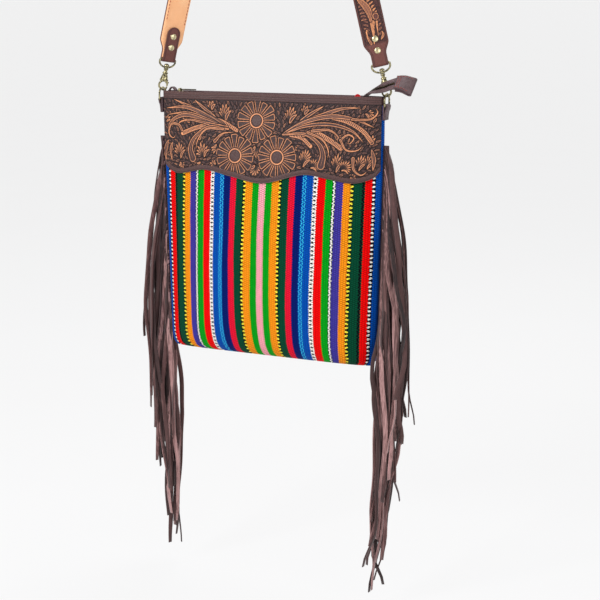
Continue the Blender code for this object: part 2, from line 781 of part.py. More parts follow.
def clasp_frame(side):
    """Origin at the hook's middle, X away from the bag, Z up the leaning clasp."""
    lean = radians(CLASP_LEAN)
    up = Vector((-side * sin(lean), 0, cos(lean)))
    out = Vector((side * cos(lean), 0, sin(lean)))
    seat = HOOK_HEIGHT / 2 - HOOK_WIRE - FIT_GAP - RING_WIRE
    bar = ring_place(side)
    top = Vector((bar.x, 0, RING_TOP))
    matrix = Matrix((out, up.cross(out), up)).transposed().to_4x4()
    matrix.translation = top + up * seat
    return matrix


def post_levels():
    """Heights over the hook's middle: the body's foot, its top, the boss and the head."""
    foot = HOOK_BAR_RISE + HOOK_BAR * 0.6
    shoulder = foot + HOOK_BODY_LENGTH
    boss = shoulder + FIT_GAP + BOSS_HEIGHT / 2
    head = boss + BOSS_HEIGHT / 2 + FIT_GAP
    return foot, shoulder, boss, head


def make_hook(shop, name, side):
    """The swivelling hook: a turned body and post, a cross bar, the bent wire and the lever's pin."""
    foot, shoulder, _, head = post_levels()
    axis = shop.empty("clasp_axis_" + name, clasp_frame(side), shop.bag_frame)
    profile = [(0, head + HEAD_HEIGHT)]
    profile += [(HEAD_RADIUS * sin(radians(angle)),
                 head + HEAD_HEIGHT * (0.25 + 0.75 * cos(radians(angle)))) for angle in (30, 60, 90)]
    profile += [(HEAD_RADIUS * 0.86, head), (POST_RADIUS, head), (POST_RADIUS, shoulder)]
    profile += [(row.radius * HOOK_BODY_RADIUS, foot + row.height * HOOK_BODY_LENGTH)
                for row in HOOK_TURNS]
    profile.append((0, foot))
    hook = shop.part("clasp_hook_" + name, turned_mesh("clasp_hook", profile, 9),
                     "antique_brass", axis)
    bar_height = HOOK_BAR_RISE + HOOK_BAR / 2
    bar = box_mesh("bar", (HOOK_BAR_LENGTH, HOOK_BAR_DEPTH, HOOK_BAR), (0, 0, bar_height))
    shop.combine(hook, shop.tool("hook_bar_" + name, bar, axis), "UNION")
    width, height = HOOK_WIDTH / 2, HOOK_HEIGHT / 2
    route = [(HOOK_WIRE_ROOT, 0, bar_height)]
    route += [(width * cos(radians(angle)), 0, height * sin(radians(angle)))
              for angle in range(60, -181, -20)]
    wire = wire_mesh("wire", route, HOOK_WIRE)
    shop.combine(hook, shop.tool("hook_wire_" + name, wire, axis), "UNION")
    pivot = lever_pivot()
    slot_depth = LEVER_THICKNESS + 2 * FIT_GAP
    slot = box_mesh("slot", (2 * LEVER_EYE + 6 * FIT_GAP, slot_depth, 3 * HOOK_BAR),
                    (pivot.x - FIT_GAP, 0, pivot.z - HOOK_BAR * 0.72))
    shop.combine(hook, shop.tool("hook_slot_" + name, slot, axis), "DIFFERENCE")
    pin = rod_mesh("pin", LEVER_PIN, HOOK_BAR_DEPTH * 0.9, (0, 1, 0), pivot, 10)
    shop.combine(hook, shop.tool("hook_pin_" + name, pin, axis), "UNION")
    make_lever(shop, name, axis, pivot)


def lever_pivot():
    """The lever's pivot in the clasp's frame, near the cross bar's end toward the bag."""
    return Vector((-HOOK_BAR_LENGTH / 2 + LEVER_EYE, 0, HOOK_BAR_RISE + HOOK_BAR * 0.30))


def make_lever(shop, name, axis, pivot):
    """The sprung lever that closes the hook: an eye, an arm down to the wire's end and a thumb lug."""
    hinge = shop.empty("lever_axis_" + name, Matrix.Translation(pivot), axis)
    tip = Vector((-HOOK_WIDTH / 2, 2 * FIT_GAP)) - Vector((pivot.x, pivot.z))
    half = LEVER_WIDTH / 2
    thumb = LEVER_EYE + THUMB_REACH
    outline = arc((0, 0), LEVER_EYE, 160, -20, 8)
    outline += [(tip.x + half, tip.y * 0.62), (tip.x + half, tip.y), (tip.x - half, tip.y),
                (tip.x - half, tip.y * 0.74)]
    outline += [(-thumb, -LEVER_EYE * 1.15), (-thumb - THUMB_RIDGE, -LEVER_EYE * 0.5),
                (-thumb, -LEVER_EYE * 0.1)]
    hole = arc((0, 0), LEVER_PIN + FIT_GAP, 0, -324, 9)
    mesh = flat_mesh("clasp_lever", [outline, hole], LEVER_THICKNESS)
    mesh.transform(Matrix.Rotation(pi / 2, 4, "X"))
    shop.part("clasp_lever_" + name, mesh, "antique_brass", hinge)


def make_loop(shop, name, side, strap):
    """The strap's loop: a D of wire with a bored boss that the hook's post turns in."""
    frame = clasp_frame(side)
    boss_height = post_levels()[2]
    up = frame.to_3x3().col[2]
    width_way = strap.end_frame(side)
    bar = frame.translation + up * (boss_height + LOOP_HEIGHT)
    matrix = Matrix((width_way, up.cross(width_way), up)).transposed().to_4x4()
    matrix.translation = bar
    axis = shop.empty("loop_frame_" + name, matrix, shop.bag_frame)
    half = LOOP_WIDTH / 2
    sag = LOOP_HEIGHT * 0.72
    outline = arc((half - LOOP_CORNER, -LOOP_CORNER), LOOP_CORNER, 90, 0, 2)
    outline += [(half * cos(radians(angle)), sag - LOOP_HEIGHT - sag * sin(radians(angle)))
                for angle in range(0, 181, 20)]
    outline += arc((-half + LOOP_CORNER, -LOOP_CORNER), LOOP_CORNER, 180, 90, 2)
    points = [(across, 0, rise) for across, rise in outline]
    loop = shop.part("clasp_loop_" + name, wire_mesh("clasp_loop", points, LOOP_WIRE, cyclic=True),
                     "antique_brass", axis)
    middle = (0, 0, -LOOP_HEIGHT)
    boss = rod_mesh("boss", BOSS_RADIUS, BOSS_HEIGHT, (0, 0, 1), middle, 14)
    bore = rod_mesh("bore", POST_RADIUS + FIT_GAP, 2 * BOSS_HEIGHT, (0, 0, 1), middle, 12)
    shop.combine(loop, shop.tool("loop_boss_" + name, boss, axis), "UNION")
    shop.combine(loop, shop.tool("loop_bore_" + name, bore, axis), "DIFFERENCE")


class StrapRoute:
    """The strap's middle line from the right clasp over the hanging point to the left clasp."""

    def __init__(self):
        rise = post_levels()[2] + LOOP_HEIGHT
        ends = {}
        for name, side in SIDES.items():
            frame = clasp_frame(side)
            up = frame.to_3x3().col[2]
            ends[name] = (frame.translation + up * rise, up)
        top = Vector((0, 0, STRAP_DROP + STRAP_LINING / 2))
        peg = radians(FACE_AZIMUTH["peg"])
        lean = radians(CLASP_LEAN)
        across = Vector((cos(peg), sin(peg), 0))
        crossing = across.cross(Vector((0, 0, -1))) * cos(lean) - across * sin(lean)
        reach = STRAP_DROP * 0.50
        spread = sqrt(2 * STRAP_DROP * 0.45 * PEG_BEND / 3)
        right, right_up = ends["right"]
        left, left_up = ends["left"]
        runs = [(right, right + right_up * reach, top - crossing * spread, top),
                (top, top + crossing * spread, left + left_up * reach, left)]
        self.points = []
        steps = 160
        for index, run in enumerate(runs):
            for step in range(0 if index == 0 else 1, steps + 1):
                self.points.append(self.bezier(run, step / steps))
        self.lengths = [0.0]
        for first, second in zip(self.points, self.points[1:]):
            self.lengths.append(self.lengths[-1] + (second - first).length)
        self.total = self.lengths[-1]

    @staticmethod
    def bezier(run, share):
        """A point on a cubic curve from its four control points."""
        rest = 1 - share
        return (run[0] * rest ** 3 + run[1] * 3 * rest ** 2 * share
                + run[2] * 3 * rest * share ** 2 + run[3] * share ** 3)

    def face_azimuth(self, length):
        """The direction that the strap's width is turned to at a length from the right clasp."""
        share = length / self.total
        if share < 0.5:
            return mix(FACE_AZIMUTH["right"], FACE_AZIMUTH["peg"], smooth_share(share * 2))
        return mix(FACE_AZIMUTH["peg"], FACE_AZIMUTH["left"], smooth_share(share * 2 - 1))

    def at(self, length):
        """Point, direction, width direction and outward normal at a length from the right clasp."""
        index = 0
        while index < len(self.lengths) - 2 and self.lengths[index + 1] < length:
            index += 1
        first, second = self.points[index], self.points[index + 1]
        share = (length - self.lengths[index]) / (self.lengths[index + 1] - self.lengths[index])
        before = self.points[max(index - 1, 0)]
        after = self.points[min(index + 2, len(self.points) - 1)]
        run = mix(second - before, after - first, min(max(share, 0.0), 1.0)).normalized()
        turn = radians(self.face_azimuth(length))
        width = Vector((cos(turn), sin(turn), 0))
        width = (width - run * width.dot(run)).normalized()
        return mix(first, second, share), run, width, width.cross(run)

    def end_frame(self, side):
        """Width direction of the strap at one of its two clasps."""
        return self.at(0.0 if side > 0 else self.total)[2]


def strap_half_width(length, total):
    """Half the strap's width, which narrows to a neck near each clasp."""
    from_end = min(length, total - length)
    share = smooth_share((from_end - NECK_LENGTH) / SHOULDER_LENGTH)
    return mix(NECK_WIDTH, STRAP_WIDTH, share) / 2


def strap_section(point, normal, width, half, low, high):
    """Four corners of the strap's section between two heights along its normal."""
    return [point + normal * low - width * half, point + normal * low + width * half,
            point + normal * high + width * half, point + normal * high - width * half]


def strap_stations(total, margin):
    """Lengths along the strap: close together at the necks and at the top, wide apart between."""
    neck = NECK_LENGTH + SHOULDER_LENGTH
    ends = [mix(margin, neck, step / 6) for step in range(6)]
    steps = [step / STRAP_STATIONS for step in range(STRAP_STATIONS + 1)]
    middle = [neck + (total - 2 * neck) * (step + 0.095 * sin(2 * pi * step)) for step in steps]
    return ends + middle + [total - length for length in reversed(ends)]


def tongue_end(route, side):
    """Sections from the tongue's round tip down to the loop's bar, on the strap's inner side."""
    low = STRAP_LINING / 2 + STRAP_GAP
    radius = TONGUE_WIDTH / 2
    sections = []
    tips = [TONGUE_LENGTH - radius * (1 - cos(radians(angle))) for angle in (8, 30, 52, 75, 90)]
    straight = [TONGUE_LENGTH * share for share in (0.6, 0.4, 0.2)]
    for length in tips + straight + [STRAP_END]:
        from_tip = min(TONGUE_LENGTH - length, radius)
        half = max(sqrt(radius ** 2 - (radius - from_tip) ** 2), radius * 0.14)
        place = length if side > 0 else route.total - length
        point, _, width, normal = route.at(place)
        sections.append(strap_section(point, normal, width, half, -low, -low - STRAP_FACE))
    return sections


def fold_sections(route, side):
    """Sections round the loop's bar, from the tongue to the face."""
    place = 0.0 if side > 0 else route.total
    point, run, width, normal = route.at(place)
    down = run * -side
    inner = STRAP_LINING / 2 + STRAP_GAP
    sections = []
    for angle in range(0, 181, 30):
        out = -normal * cos(radians(angle)) + down * sin(radians(angle))
        near, far = point + out * inner, point + out * (inner + STRAP_FACE)
        half = NECK_WIDTH / 2
        sections.append([near - width * half, near + width * half,
                         far + width * half, far - width * half])
    return sections


def make_strap(shop, route):
    """The tooled face with its folded tongues, the tan lining between, and the four rivets."""
    low = STRAP_LINING / 2 + STRAP_GAP
    rings = tongue_end(route, 1) + fold_sections(route, 1)
    for length in strap_stations(route.total, STRAP_END):
        point, _, width, normal = route.at(length)
        half = strap_half_width(length, route.total)
        rings.append(strap_section(point, normal, width, half, low, low + STRAP_FACE))
    rings += reversed(tongue_end(route, -1) + fold_sections(route, -1))
    face = shop.part("strap_face", loft("strap_face", rings), "tooled_leather")
    rings = []
    for length in strap_stations(route.total, LOOP_WIRE + 3 * FIT_GAP):
        point, _, width, normal = route.at(length)
        half = strap_half_width(length, route.total) - FIT_GAP
        rings.append(strap_section(point, normal, width, half,
                                   -STRAP_LINING / 2, STRAP_LINING / 2))
    lining = shop.part("strap_lining", loft("strap_lining", rings), "tan_leather")
    reach = low + STRAP_FACE + FIT_GAP
    for name, side in SIDES.items():
        for level, length in RIVET_PLACES.items():
            point, run, width, normal = route.at(length if side > 0 else route.total - length)
            matrix = Matrix((width, normal.cross(width), normal)).transposed().to_4x4()
            matrix.translation = point
            axis = shop.empty("rivet_axis_%s_%s" % (name, level), matrix, shop.bag_frame)
            hole = rod_mesh("hole", RIVET_POST + FIT_GAP, 3 * reach, (0, 0, 1), sides=10)
            cutter = shop.tool("rivet_hole_%s_%s" % (name, level), hole, axis)
            shop.combine(face, cutter, "DIFFERENCE")
            shop.combine(lining, cutter, "DIFFERENCE")
            dome = [(0.0, 1.0), (0.62, 0.84), (1.0, 0.22), (1.0, 0.0)]
            upper = [(RIVET_RADIUS * out, reach + RIVET_CAP * rise) for out, rise in dome]
            lower = [(out, -height) for out, height in reversed(upper)]
            profile = upper + [(RIVET_POST, reach), (RIVET_POST, -reach)] + lower
            shop.part("rivet_%s_%s" % (name, level), turned_mesh("rivet", profile, 9),
                      "antique_brass", axis)


def strip_path(side, index):
    """Centres of one strip of fringe: out of the header, round and straight down."""
    pitch = (FRINGE_BOTTOM - FRINGE_TOP) / FRINGE_STRIPS
    root_drop = FRINGE_TOP + pitch * (index + 0.5)
    root = body_section(root_drop)[0] + FIT_GAP + HEADER_THICKNESS
    lane = FIRST_LANE + STRIP_PITCH * (FRINGE_STRIPS - 1 - index)
    points = []
    for fall in (0.0, 0.07, 0.18, 0.32, 0.64, 1.0):
        out = lane * (1 - (1 - min(fall / 0.3, 1.0)) ** 2)
        drop = root_drop + FRINGE_LENGTH * fall * 0.97
        gather = 1 - 0.22 * smooth_share((drop - FRINGE_BOTTOM) / FRINGE_LENGTH)
        drift = STRIP_SWAY * ((index * 2) % 5 - 2) + STRIP_WAVE * sin(drop * WAVES_PER_METRE + side)
        points.append(Vector((side * (root + out * gather), drift * smooth_share(fall * 3),
                              -drop)))
    return points


def make_fringe(shop, name, side):
    """A header down the side seam with flat strips that leave it sideways and hang straight."""
    work = bmesh.new()
    pitch = (FRINGE_BOTTOM - FRINGE_TOP) / FRINGE_STRIPS
    half = STRIP_WIDTH / 2
    levels = []
    for index in range(FRINGE_STRIPS):
        top = FRINGE_TOP + pitch * index
        middle = top + pitch / 2
        levels += [top, middle - STRIP_THICKNESS / 2, middle + STRIP_THICKNESS / 2]
    levels.append(FRINGE_BOTTOM)
    rings = []
    for drop in levels:
        inner = body_section(drop)[0] + FIT_GAP
        outer = inner + HEADER_THICKNESS
        corners = [(inner, -half), (outer, -half), (outer, half), (inner, half)]
        rings.append([work.verts.new((side * x, y, -drop)) for x, y in corners])
    roots = []
    for row, (upper, lower) in enumerate(zip(rings, rings[1:])):
        for corner in range(4):
            following = (corner + 1) % 4
            face = work.faces.new((upper[corner], upper[following],
                                   lower[following], lower[corner]))
            if corner == 1 and row % 3 == 1:
                roots.append(face)
    work.faces.new(list(reversed(rings[0])))
    work.faces.new(rings[-1])
    bmesh.ops.recalc_face_normals(work, faces=work.faces)
    for index, root in enumerate(roots):
        extrude_strip(work, root, strip_path(side, index), side)
    shop.part("fringe_" + name, mesh_from(work, "fringe_" + name), "fringe_leather")


def extrude_strip(work, face, path, side):
    """Draw a strip out of a header's face along its path, turning from level to hanging."""
    for step in range(1, len(path)):
        moved = bmesh.ops.extrude_discrete_faces(work, faces=[face])["faces"][0]
        ahead = path[min(step + 1, len(path) - 1)]
        run = (ahead - path[step - 1]).normalized()
        flat = Vector((0, 1, 0))
        thick = flat.cross(run).normalized() * -side
        for vert in moved.verts:
            lateral = 1 if vert.co.y > path[step - 1].y else -1
            above = (vert.co - path[step - 1]).dot(
                thick if step > 1 else Vector((0, 0, 1))) > 0
            vert.co = (path[step] + flat * lateral * STRIP_WIDTH / 2
                       + thick * (STRIP_THICKNESS / 2) * (1 if above else -1))
        face = moved


def build():
    """Make the whole bag."""
    clear_scene()
    shop = Workshop()
    make_body(shop)
    make_yokes(shop)
    make_zip(shop)
    make_lining_corner(shop)
    route = StrapRoute()
    for name, side in SIDES.items():
        make_ring(shop, name, side)
        make_hook(shop, name, side)
        make_loop(shop, name, side, route)
        make_fringe(shop, name, side)
    make_strap(shop, route)


build()
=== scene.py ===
"""Looks of the leather crossbody bag: woven body, tooled leather, hardware, strap and fringe.

All sizes are in metres in the model's frame, whose origin is the strap's hanging point. Heights
on the bag are drops below its mouth, which lies STRAP_DROP under the hanging point.
"""

import logging
from dataclasses import dataclass
from enum import Enum
from math import cos, pi, radians, sin, sqrt
from typing import Callable, Optional, Sequence

import bmesh
import bpy
import numpy as np
from mathutils import Matrix, Vector


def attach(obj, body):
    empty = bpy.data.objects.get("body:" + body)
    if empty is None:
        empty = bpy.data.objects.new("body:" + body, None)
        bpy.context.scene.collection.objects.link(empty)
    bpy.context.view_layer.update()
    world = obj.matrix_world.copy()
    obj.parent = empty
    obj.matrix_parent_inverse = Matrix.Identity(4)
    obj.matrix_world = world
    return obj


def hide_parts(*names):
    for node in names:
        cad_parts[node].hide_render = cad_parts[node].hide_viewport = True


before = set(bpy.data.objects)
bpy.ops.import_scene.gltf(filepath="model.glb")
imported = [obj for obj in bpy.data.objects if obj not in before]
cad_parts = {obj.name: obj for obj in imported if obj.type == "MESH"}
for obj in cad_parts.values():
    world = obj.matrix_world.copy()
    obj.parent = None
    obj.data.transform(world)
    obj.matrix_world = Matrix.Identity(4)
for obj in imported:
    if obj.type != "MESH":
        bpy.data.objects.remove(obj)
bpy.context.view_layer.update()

LOG = logging.getLogger("crossbody_bag")

STRAP_DROP = 0.485
FIT_GAP = 0.0003
SIDES = {"left": -1, "right": 1}

Colour = tuple[float, float, float]
Place = Callable[[np.ndarray, np.ndarray], np.ndarray]


# Small helpers

def smooth(values: np.ndarray) -> np.ndarray:
    """Ease values that are first held between 0 and 1."""
    held = np.clip(values, 0.0, 1.0)
    return held * held * (3 - 2 * held)


def read_rows(rows: np.ndarray, places: np.ndarray) -> np.ndarray:
    """Read a table smoothly at places in its first column.

    Args:
        rows: The table, one row for each place that is known.
        places: Where to read it.

    Returns:
        One row for each place, on cubic curves through the table's rows.
    """
    keys = rows[:, 0]
    index = np.clip(np.searchsorted(keys, places, side="left") - 1, 0, len(keys) - 2)
    low, high = rows[index], rows[index + 1]
    before = rows[np.maximum(index - 1, 0)]
    after = rows[np.minimum(index + 2, len(keys) - 1)]
    span = high[:, :1] - low[:, :1]
    share = np.clip((places[:, None] - low[:, :1]) / span, 0.0, 1.0)
    start = (high - before) / (high[:, :1] - before[:, :1]) * span
    end = (after - low) / (after[:, :1] - low[:, :1]) * span
    change = high - low
    bend = 3 * change - 2 * start - end + share * (start + end - 2 * change)
    return low + share * (start + share * bend)


def mixed(first: float, second: float, share: float) -> float:
    """Blend two numbers."""
    return first + (second - first) * share


def unit(vectors: np.ndarray) -> np.ndarray:
    """Bring each row to a length of one."""
    return vectors / np.linalg.norm(vectors, axis=1)[:, None]


def square_to(vectors: np.ndarray, run: np.ndarray) -> np.ndarray:
    """Turn each row square to a direction, at a length of one."""
    return unit(vectors - run * (run * vectors).sum(1)[:, None])


def nearest(value: np.ndarray, count: int) -> np.ndarray:
    """The whole step that each value lies on, of a count of steps from -1 to 1."""
    return np.rint((value + 1) / 2 * count).astype(int)


def set_axes(across: Vector, ahead: Vector, up: Vector, origin: Vector) -> Matrix:
    """A matrix with the given axes and origin."""
    matrix = Matrix((across, ahead, up)).transposed().to_4x4()
    matrix.translation = origin
    return matrix


def srgb(red: int, green: int, blue: int) -> Colour:
    """Turn a colour of 0 to 255 into the linear values that a shader takes."""
    return tuple((value / 255) ** 2.2 for value in (red, green, blue))


# Shader nodes

class Board:
    """Adds nodes to one node tree and links them by plain calls."""

    def __init__(self, tree: bpy.types.NodeTree) -> None:
        """Keep the tree."""
        self.tree = tree

    def node(self, kind: str, inputs: Optional[dict] = None, **settings) -> bpy.types.Node:
        """Add a node.

        Args:
            kind: The node's Blender type.
            inputs: Values or sockets by input name or number.
            settings: Attributes of the node.

        Returns:
            The node.
        """
        made = self.tree.nodes.new(kind)
        for name, value in settings.items():
            setattr(made, name, value)
        for key, value in (inputs or {}).items():
            self.feed(made.inputs[key], value)
        return made

    def feed(self, socket: bpy.types.NodeSocket, value) -> None:
        """Link a socket to an input, or set the input to a plain value."""
        if isinstance(value, bpy.types.NodeSocket):
            self.tree.links.new(value, socket)
        elif socket.type == "RGBA" and len(value) == 3:
            socket.default_value = (*value, 1.0)
        else:
            socket.default_value = value

    def math(self, operation: str, *values, clamp: bool = False) -> bpy.types.NodeSocket:
        """Join numbers or sockets with one sum."""
        made = self.node("ShaderNodeMath", dict(enumerate(values)), operation=operation,
                         use_clamp=clamp)
        return made.outputs[0]

    def mix(self, share, first, second, blend: str = "MIX") -> bpy.types.NodeSocket:
        """Mix two colours by a share."""
        made = self.node("ShaderNodeMix", {0: share, 6: first, 7: second}, data_type="RGBA",
                         blend_type=blend)
        return made.outputs[2]

    def fit(self, value, low: float, high: float, to_low: float = 0.0,
            to_high: float = 1.0) -> bpy.types.NodeSocket:
        """Stretch a range of values smoothly to another range."""
        made = self.node("ShaderNodeMapRange", {0: value, 1: low, 2: high, 3: to_low, 4: to_high},
                         interpolation_type="SMOOTHSTEP")
        return made.outputs[0]

    def steps(self, value, stops: Sequence[tuple[float, Colour]]) -> bpy.types.NodeSocket:
        """Read bands of even colour.

        Args:
            value: Where to read, from 0 to 1.
            stops: Where each band starts, and its colour.

        Returns:
            The colour's socket.
        """
        made = self.node("ShaderNodeValToRGB", {0: value})
        made.color_ramp.interpolation = "CONSTANT"
        elements = made.color_ramp.elements
        elements[0].position, elements[0].color = stops[0][0], (*stops[0][1], 1.0)
        elements[1].position, elements[1].color = stops[1][0], (*stops[1][1], 1.0)
        for place, colour in stops[2:]:
            elements.new(place).color = (*colour, 1.0)
        return made.outputs[0]

    def noise(self, vector, scale: float, detail: float = 3.0,
              roughness: float = 0.55) -> bpy.types.NodeSocket:
        """Soft noise over a vector."""
        made = self.node("ShaderNodeTexNoise", {"Vector": vector, "Scale": scale,
                                                "Detail": detail, "Roughness": roughness})
        return made.outputs[0]

    def stretched(self, vector, scale: Sequence[float]) -> bpy.types.NodeSocket:
        """Scale a vector by a Mapping node."""
        return self.node("ShaderNodeMapping", {"Vector": vector, "Scale": scale}).outputs[0]

    def attribute(self, name: str) -> bpy.types.Node:
        """Read one of the piece's own attributes."""
        return self.node("ShaderNodeAttribute", attribute_name=name)

    def place(self) -> bpy.types.NodeSocket:
        """The Object coordinates."""
        return self.node("ShaderNodeTexCoord").outputs["Object"]


def new_group(name: str, inputs: dict[str, tuple[str, object]],
              outputs: Sequence[str]) -> tuple[bpy.types.NodeTree, Board, dict, bpy.types.Node]:
    """Start a shader node group of numbers and vectors.

    Args:
        name: The group's name.
        inputs: Socket type and default by name.
        outputs: Names of the outputs, all numbers.

    Returns:
        The group, a board on it, its input sockets by name, and its output node.
    """
    tree = bpy.data.node_groups.new(name, "ShaderNodeTree")
    for key, (kind, default) in inputs.items():
        socket = tree.interface.new_socket(key, in_out="INPUT", socket_type=kind)
        if default is not None:
            socket.default_value = default
    for key in outputs:
        tree.interface.new_socket(key, in_out="OUTPUT", socket_type="NodeSocketFloat")
    board = Board(tree)
    entry = board.node("NodeGroupInput")
    leave = board.node("NodeGroupOutput")
    return tree, board, {key: entry.outputs[key] for key in inputs}, leave


class SharedEffects:
    """The node groups that several materials use."""

    def __init__(self) -> None:
        """Build each group once."""
        self.grain = self.make_grain()
        self.wear = self.make_wear()
        self.weave = self.make_weave()

    def make_grain(self) -> bpy.types.NodeTree:
        """Leather grain: creased cells with pores, as a height and a shade: painted shade in the
        creases, times slow random tone.
        """
        tree, board, given, leave = new_group(
            "leather_grain", {"Vector": ("NodeSocketVector", None),
                              "Scale": ("NodeSocketFloat", 900.0)}, ("Height", "Shade"))
        cells = board.node("ShaderNodeTexVoronoi", {"Vector": given["Vector"],
                                                    "Scale": given["Scale"]},
                           feature="DISTANCE_TO_EDGE").outputs[0]
        creases = board.fit(cells, 0.0, 0.16)
        slow = board.node("ShaderNodeTexNoise", {"Vector": given["Vector"], "Scale": 160.0,
                                                 "Detail": 4.0}).outputs[0]
        height = board.math("MULTIPLY_ADD", slow, 0.6, creases)
        board.feed(leave.inputs["Height"], height)
        # Shade: painted shade in the grain's creases, times slow random tone
        board.feed(leave.inputs["Shade"], board.math("MULTIPLY", creases, slow))
        return tree

    def make_wear(self) -> bpy.types.NodeTree:
        """Uneven wear: soft patches broken by finer scuffs, as a mask."""
        tree, board, given, leave = new_group(
            "uneven_wear", {"Vector": ("NodeSocketVector", None),
                            "Scale": ("NodeSocketFloat", 40.0),
                            "Amount": ("NodeSocketFloat", 0.5)}, ("Mask",))
        patches = board.node("ShaderNodeTexNoise", {"Vector": given["Vector"],
                                                    "Scale": given["Scale"],
                                                    "Detail": 5.0}).outputs[0]
        edge = board.math("SUBTRACT", 1.0, given["Amount"])
        low = board.math("SUBTRACT", edge, 0.18)
        high = board.math("ADD", edge, 0.18)
        made = board.node("ShaderNodeMapRange", {0: patches, 1: low, 2: high},
                          interpolation_type="SMOOTHSTEP")
        board.feed(leave.inputs["Mask"], made.outputs[0])
        return tree

    def make_weave(self) -> bpy.types.NodeTree:
        """Warp-faced weave: yarns side by side, ribbed at each pick, every other one set off; its
        Shade is painted shade, dark in the weave's valleys.
        """
        tree, board, given, leave = new_group(
            "warp_faced_weave", {"Across": ("NodeSocketFloat", 0.0),
                                 "Along": ("NodeSocketFloat", 0.0),
                                 "Yarn": ("NodeSocketFloat", 0.0012),
                                 "Pick": ("NodeSocketFloat", 0.0024)}, ("Height", "Shade"))
        column = board.math("DIVIDE", given["Across"], given["Yarn"])
        row = board.math("DIVIDE", given["Along"], given["Pick"])
        odd = board.math("MULTIPLY", board.math("FLOOR", column), 0.5)
        phase = board.math("FRACT", board.math("ADD", row, odd))
        bow = board.math("SINE", board.math("MULTIPLY", phase, pi))
        side = board.math("SINE", board.math("MULTIPLY", board.math("FRACT", column), pi))
        height = board.math("MULTIPLY", board.math("POWER", bow, 0.8),
                            board.math("POWER", side, 0.3))
        board.feed(leave.inputs["Height"], height)
        # Shade is painted shade: low where the weave dips between yarns and picks
        board.feed(leave.inputs["Shade"], board.fit(height, 0.1, 0.9))
        return tree


@dataclass(frozen=True)
class Bump:
    """Depth of a bump, in metres of its height."""

    depth: float
    strength: float = 1.0


class Finish:
    """A material that starts as a Principled BSDF."""

    def __init__(self, name: str, effects: SharedEffects, roughness: float = 0.6,
                 metallic: float = 0.0, **sockets: float) -> None:
        """Make the material.

        Args:
            name: The material's name.
            effects: The shared node groups.
            roughness: Roughness where nothing feeds it.
            metallic: Metallic where nothing feeds it.
            sockets: Constant values of other inputs, with _ for each blank in their names.
        """
        self.material = bpy.data.materials.new(name)
        self.material.use_nodes = True
        self.board = Board(self.material.node_tree)
        self.effects = effects
        self.shader = self.material.node_tree.nodes["Principled BSDF"]
        self.shader.inputs["Roughness"].default_value = roughness
        self.shader.inputs["Metallic"].default_value = metallic
        for key, value in sockets.items():
            self.shader.inputs[key.replace("_", " ")].default_value = value

    def colour(self, value) -> None:
        """Set or link the base colour."""
        self.board.feed(self.shader.inputs["Base Color"], value)

    def rough(self, value) -> None:
        """Set or link the roughness."""
        self.board.feed(self.shader.inputs["Roughness"], value)

    def bump(self, *layers: tuple[bpy.types.NodeSocket, Bump]) -> None:
        """Lay bumps on each other and link them to the normal."""
        normal = None
        for height, size in layers:
            inputs = {"Height": height, "Distance": size.depth, "Strength": size.strength}
            if normal is not None:
                inputs["Normal"] = normal
            normal = self.board.node("ShaderNodeBump", inputs).outputs[0]
        self.board.feed(self.shader.inputs["Normal"], normal)

    def grain(self, scale: float) -> bpy.types.Node:
        """Place the grain group on Object coordinates."""
        node = self.board.node("ShaderNodeGroup", node_tree=self.effects.grain)
        self.board.feed(node.inputs["Vector"], self.board.place())
        node.inputs["Scale"].default_value = scale
        return node

    def wear(self, scale: float, amount: float) -> bpy.types.NodeSocket:
        """Place the wear group on Object coordinates."""
        node = self.board.node("ShaderNodeGroup", node_tree=self.effects.wear)
        self.board.feed(node.inputs["Vector"], self.board.place())
        node.inputs["Scale"].default_value = scale
        node.inputs["Amount"].default_value = amount
        return node.outputs["Mask"]


# The striped cloth

class Yarn(Enum):
    """Dyed yarns of the cloth."""

    PINK = srgb(250, 165, 175)
    GREEN = srgb(0, 158, 30)
    ORANGE = srgb(250, 146, 28)
    DARK_GREEN = srgb(0, 72, 50)
    CRIMSON = srgb(232, 26, 56)
    NAVY = srgb(0, 32, 104)
    LIGHT_BLUE = srgb(56, 184, 226)
    ROYAL = srgb(0, 78, 172)
    RED = srgb(242, 8, 10)
    VIOLET = srgb(66, 58, 152)
    YELLOW = srgb(252, 240, 70)
    WHITE = srgb(246, 244, 238)
    BLACK = srgb(14, 14, 22)


class Figure(Enum):
    """How a stripe's second yarn shows in it."""

    PLAIN = 0.0
    BLOCKS = 0.25
    CHAIN = 0.5
    WAVE = 0.75
    TWIST = 1.0


@dataclass(frozen=True)
class Stripe:
    """One stripe: its width, its yarn, its second yarn and how that shows."""

    width: float
    yarn: Yarn
    second: Optional[Yarn] = None
    figure: Figure = Figure.PLAIN


STRIPES = (
    Stripe(0.0046, Yarn.PINK),
    Stripe(0.0093, Yarn.GREEN),
    Stripe(0.0094, Yarn.ORANGE),
    Stripe(0.0040, Yarn.YELLOW, Yarn.BLACK, Figure.BLOCKS),
    Stripe(0.0104, Yarn.DARK_GREEN),
    Stripe(0.0085, Yarn.CRIMSON),
    Stripe(0.0095, Yarn.NAVY),
    Stripe(0.0068, Yarn.ROYAL, Yarn.LIGHT_BLUE, Figure.TWIST),
    Stripe(0.0083, Yarn.ROYAL),
    Stripe(0.0054, Yarn.WHITE, Yarn.BLACK, Figure.CHAIN),
    Stripe(0.0103, Yarn.RED),
    Stripe(0.0096, Yarn.GREEN),
    Stripe(0.0037, Yarn.BLACK, Yarn.WHITE, Figure.WAVE),
    Stripe(0.0092, Yarn.VIOLET),
    Stripe(0.0098, Yarn.ORANGE),
    Stripe(0.0040, Yarn.YELLOW, Yarn.BLACK, Figure.BLOCKS),
    Stripe(0.0095, Yarn.DARK_GREEN),
    Stripe(0.0040, Yarn.DARK_GREEN, Yarn.BLACK, Figure.WAVE),
    Stripe(0.0090, Yarn.RED),
    Stripe(0.0037, Yarn.WHITE, Yarn.BLACK, Figure.BLOCKS),
    Stripe(0.0150, Yarn.ROYAL),
)


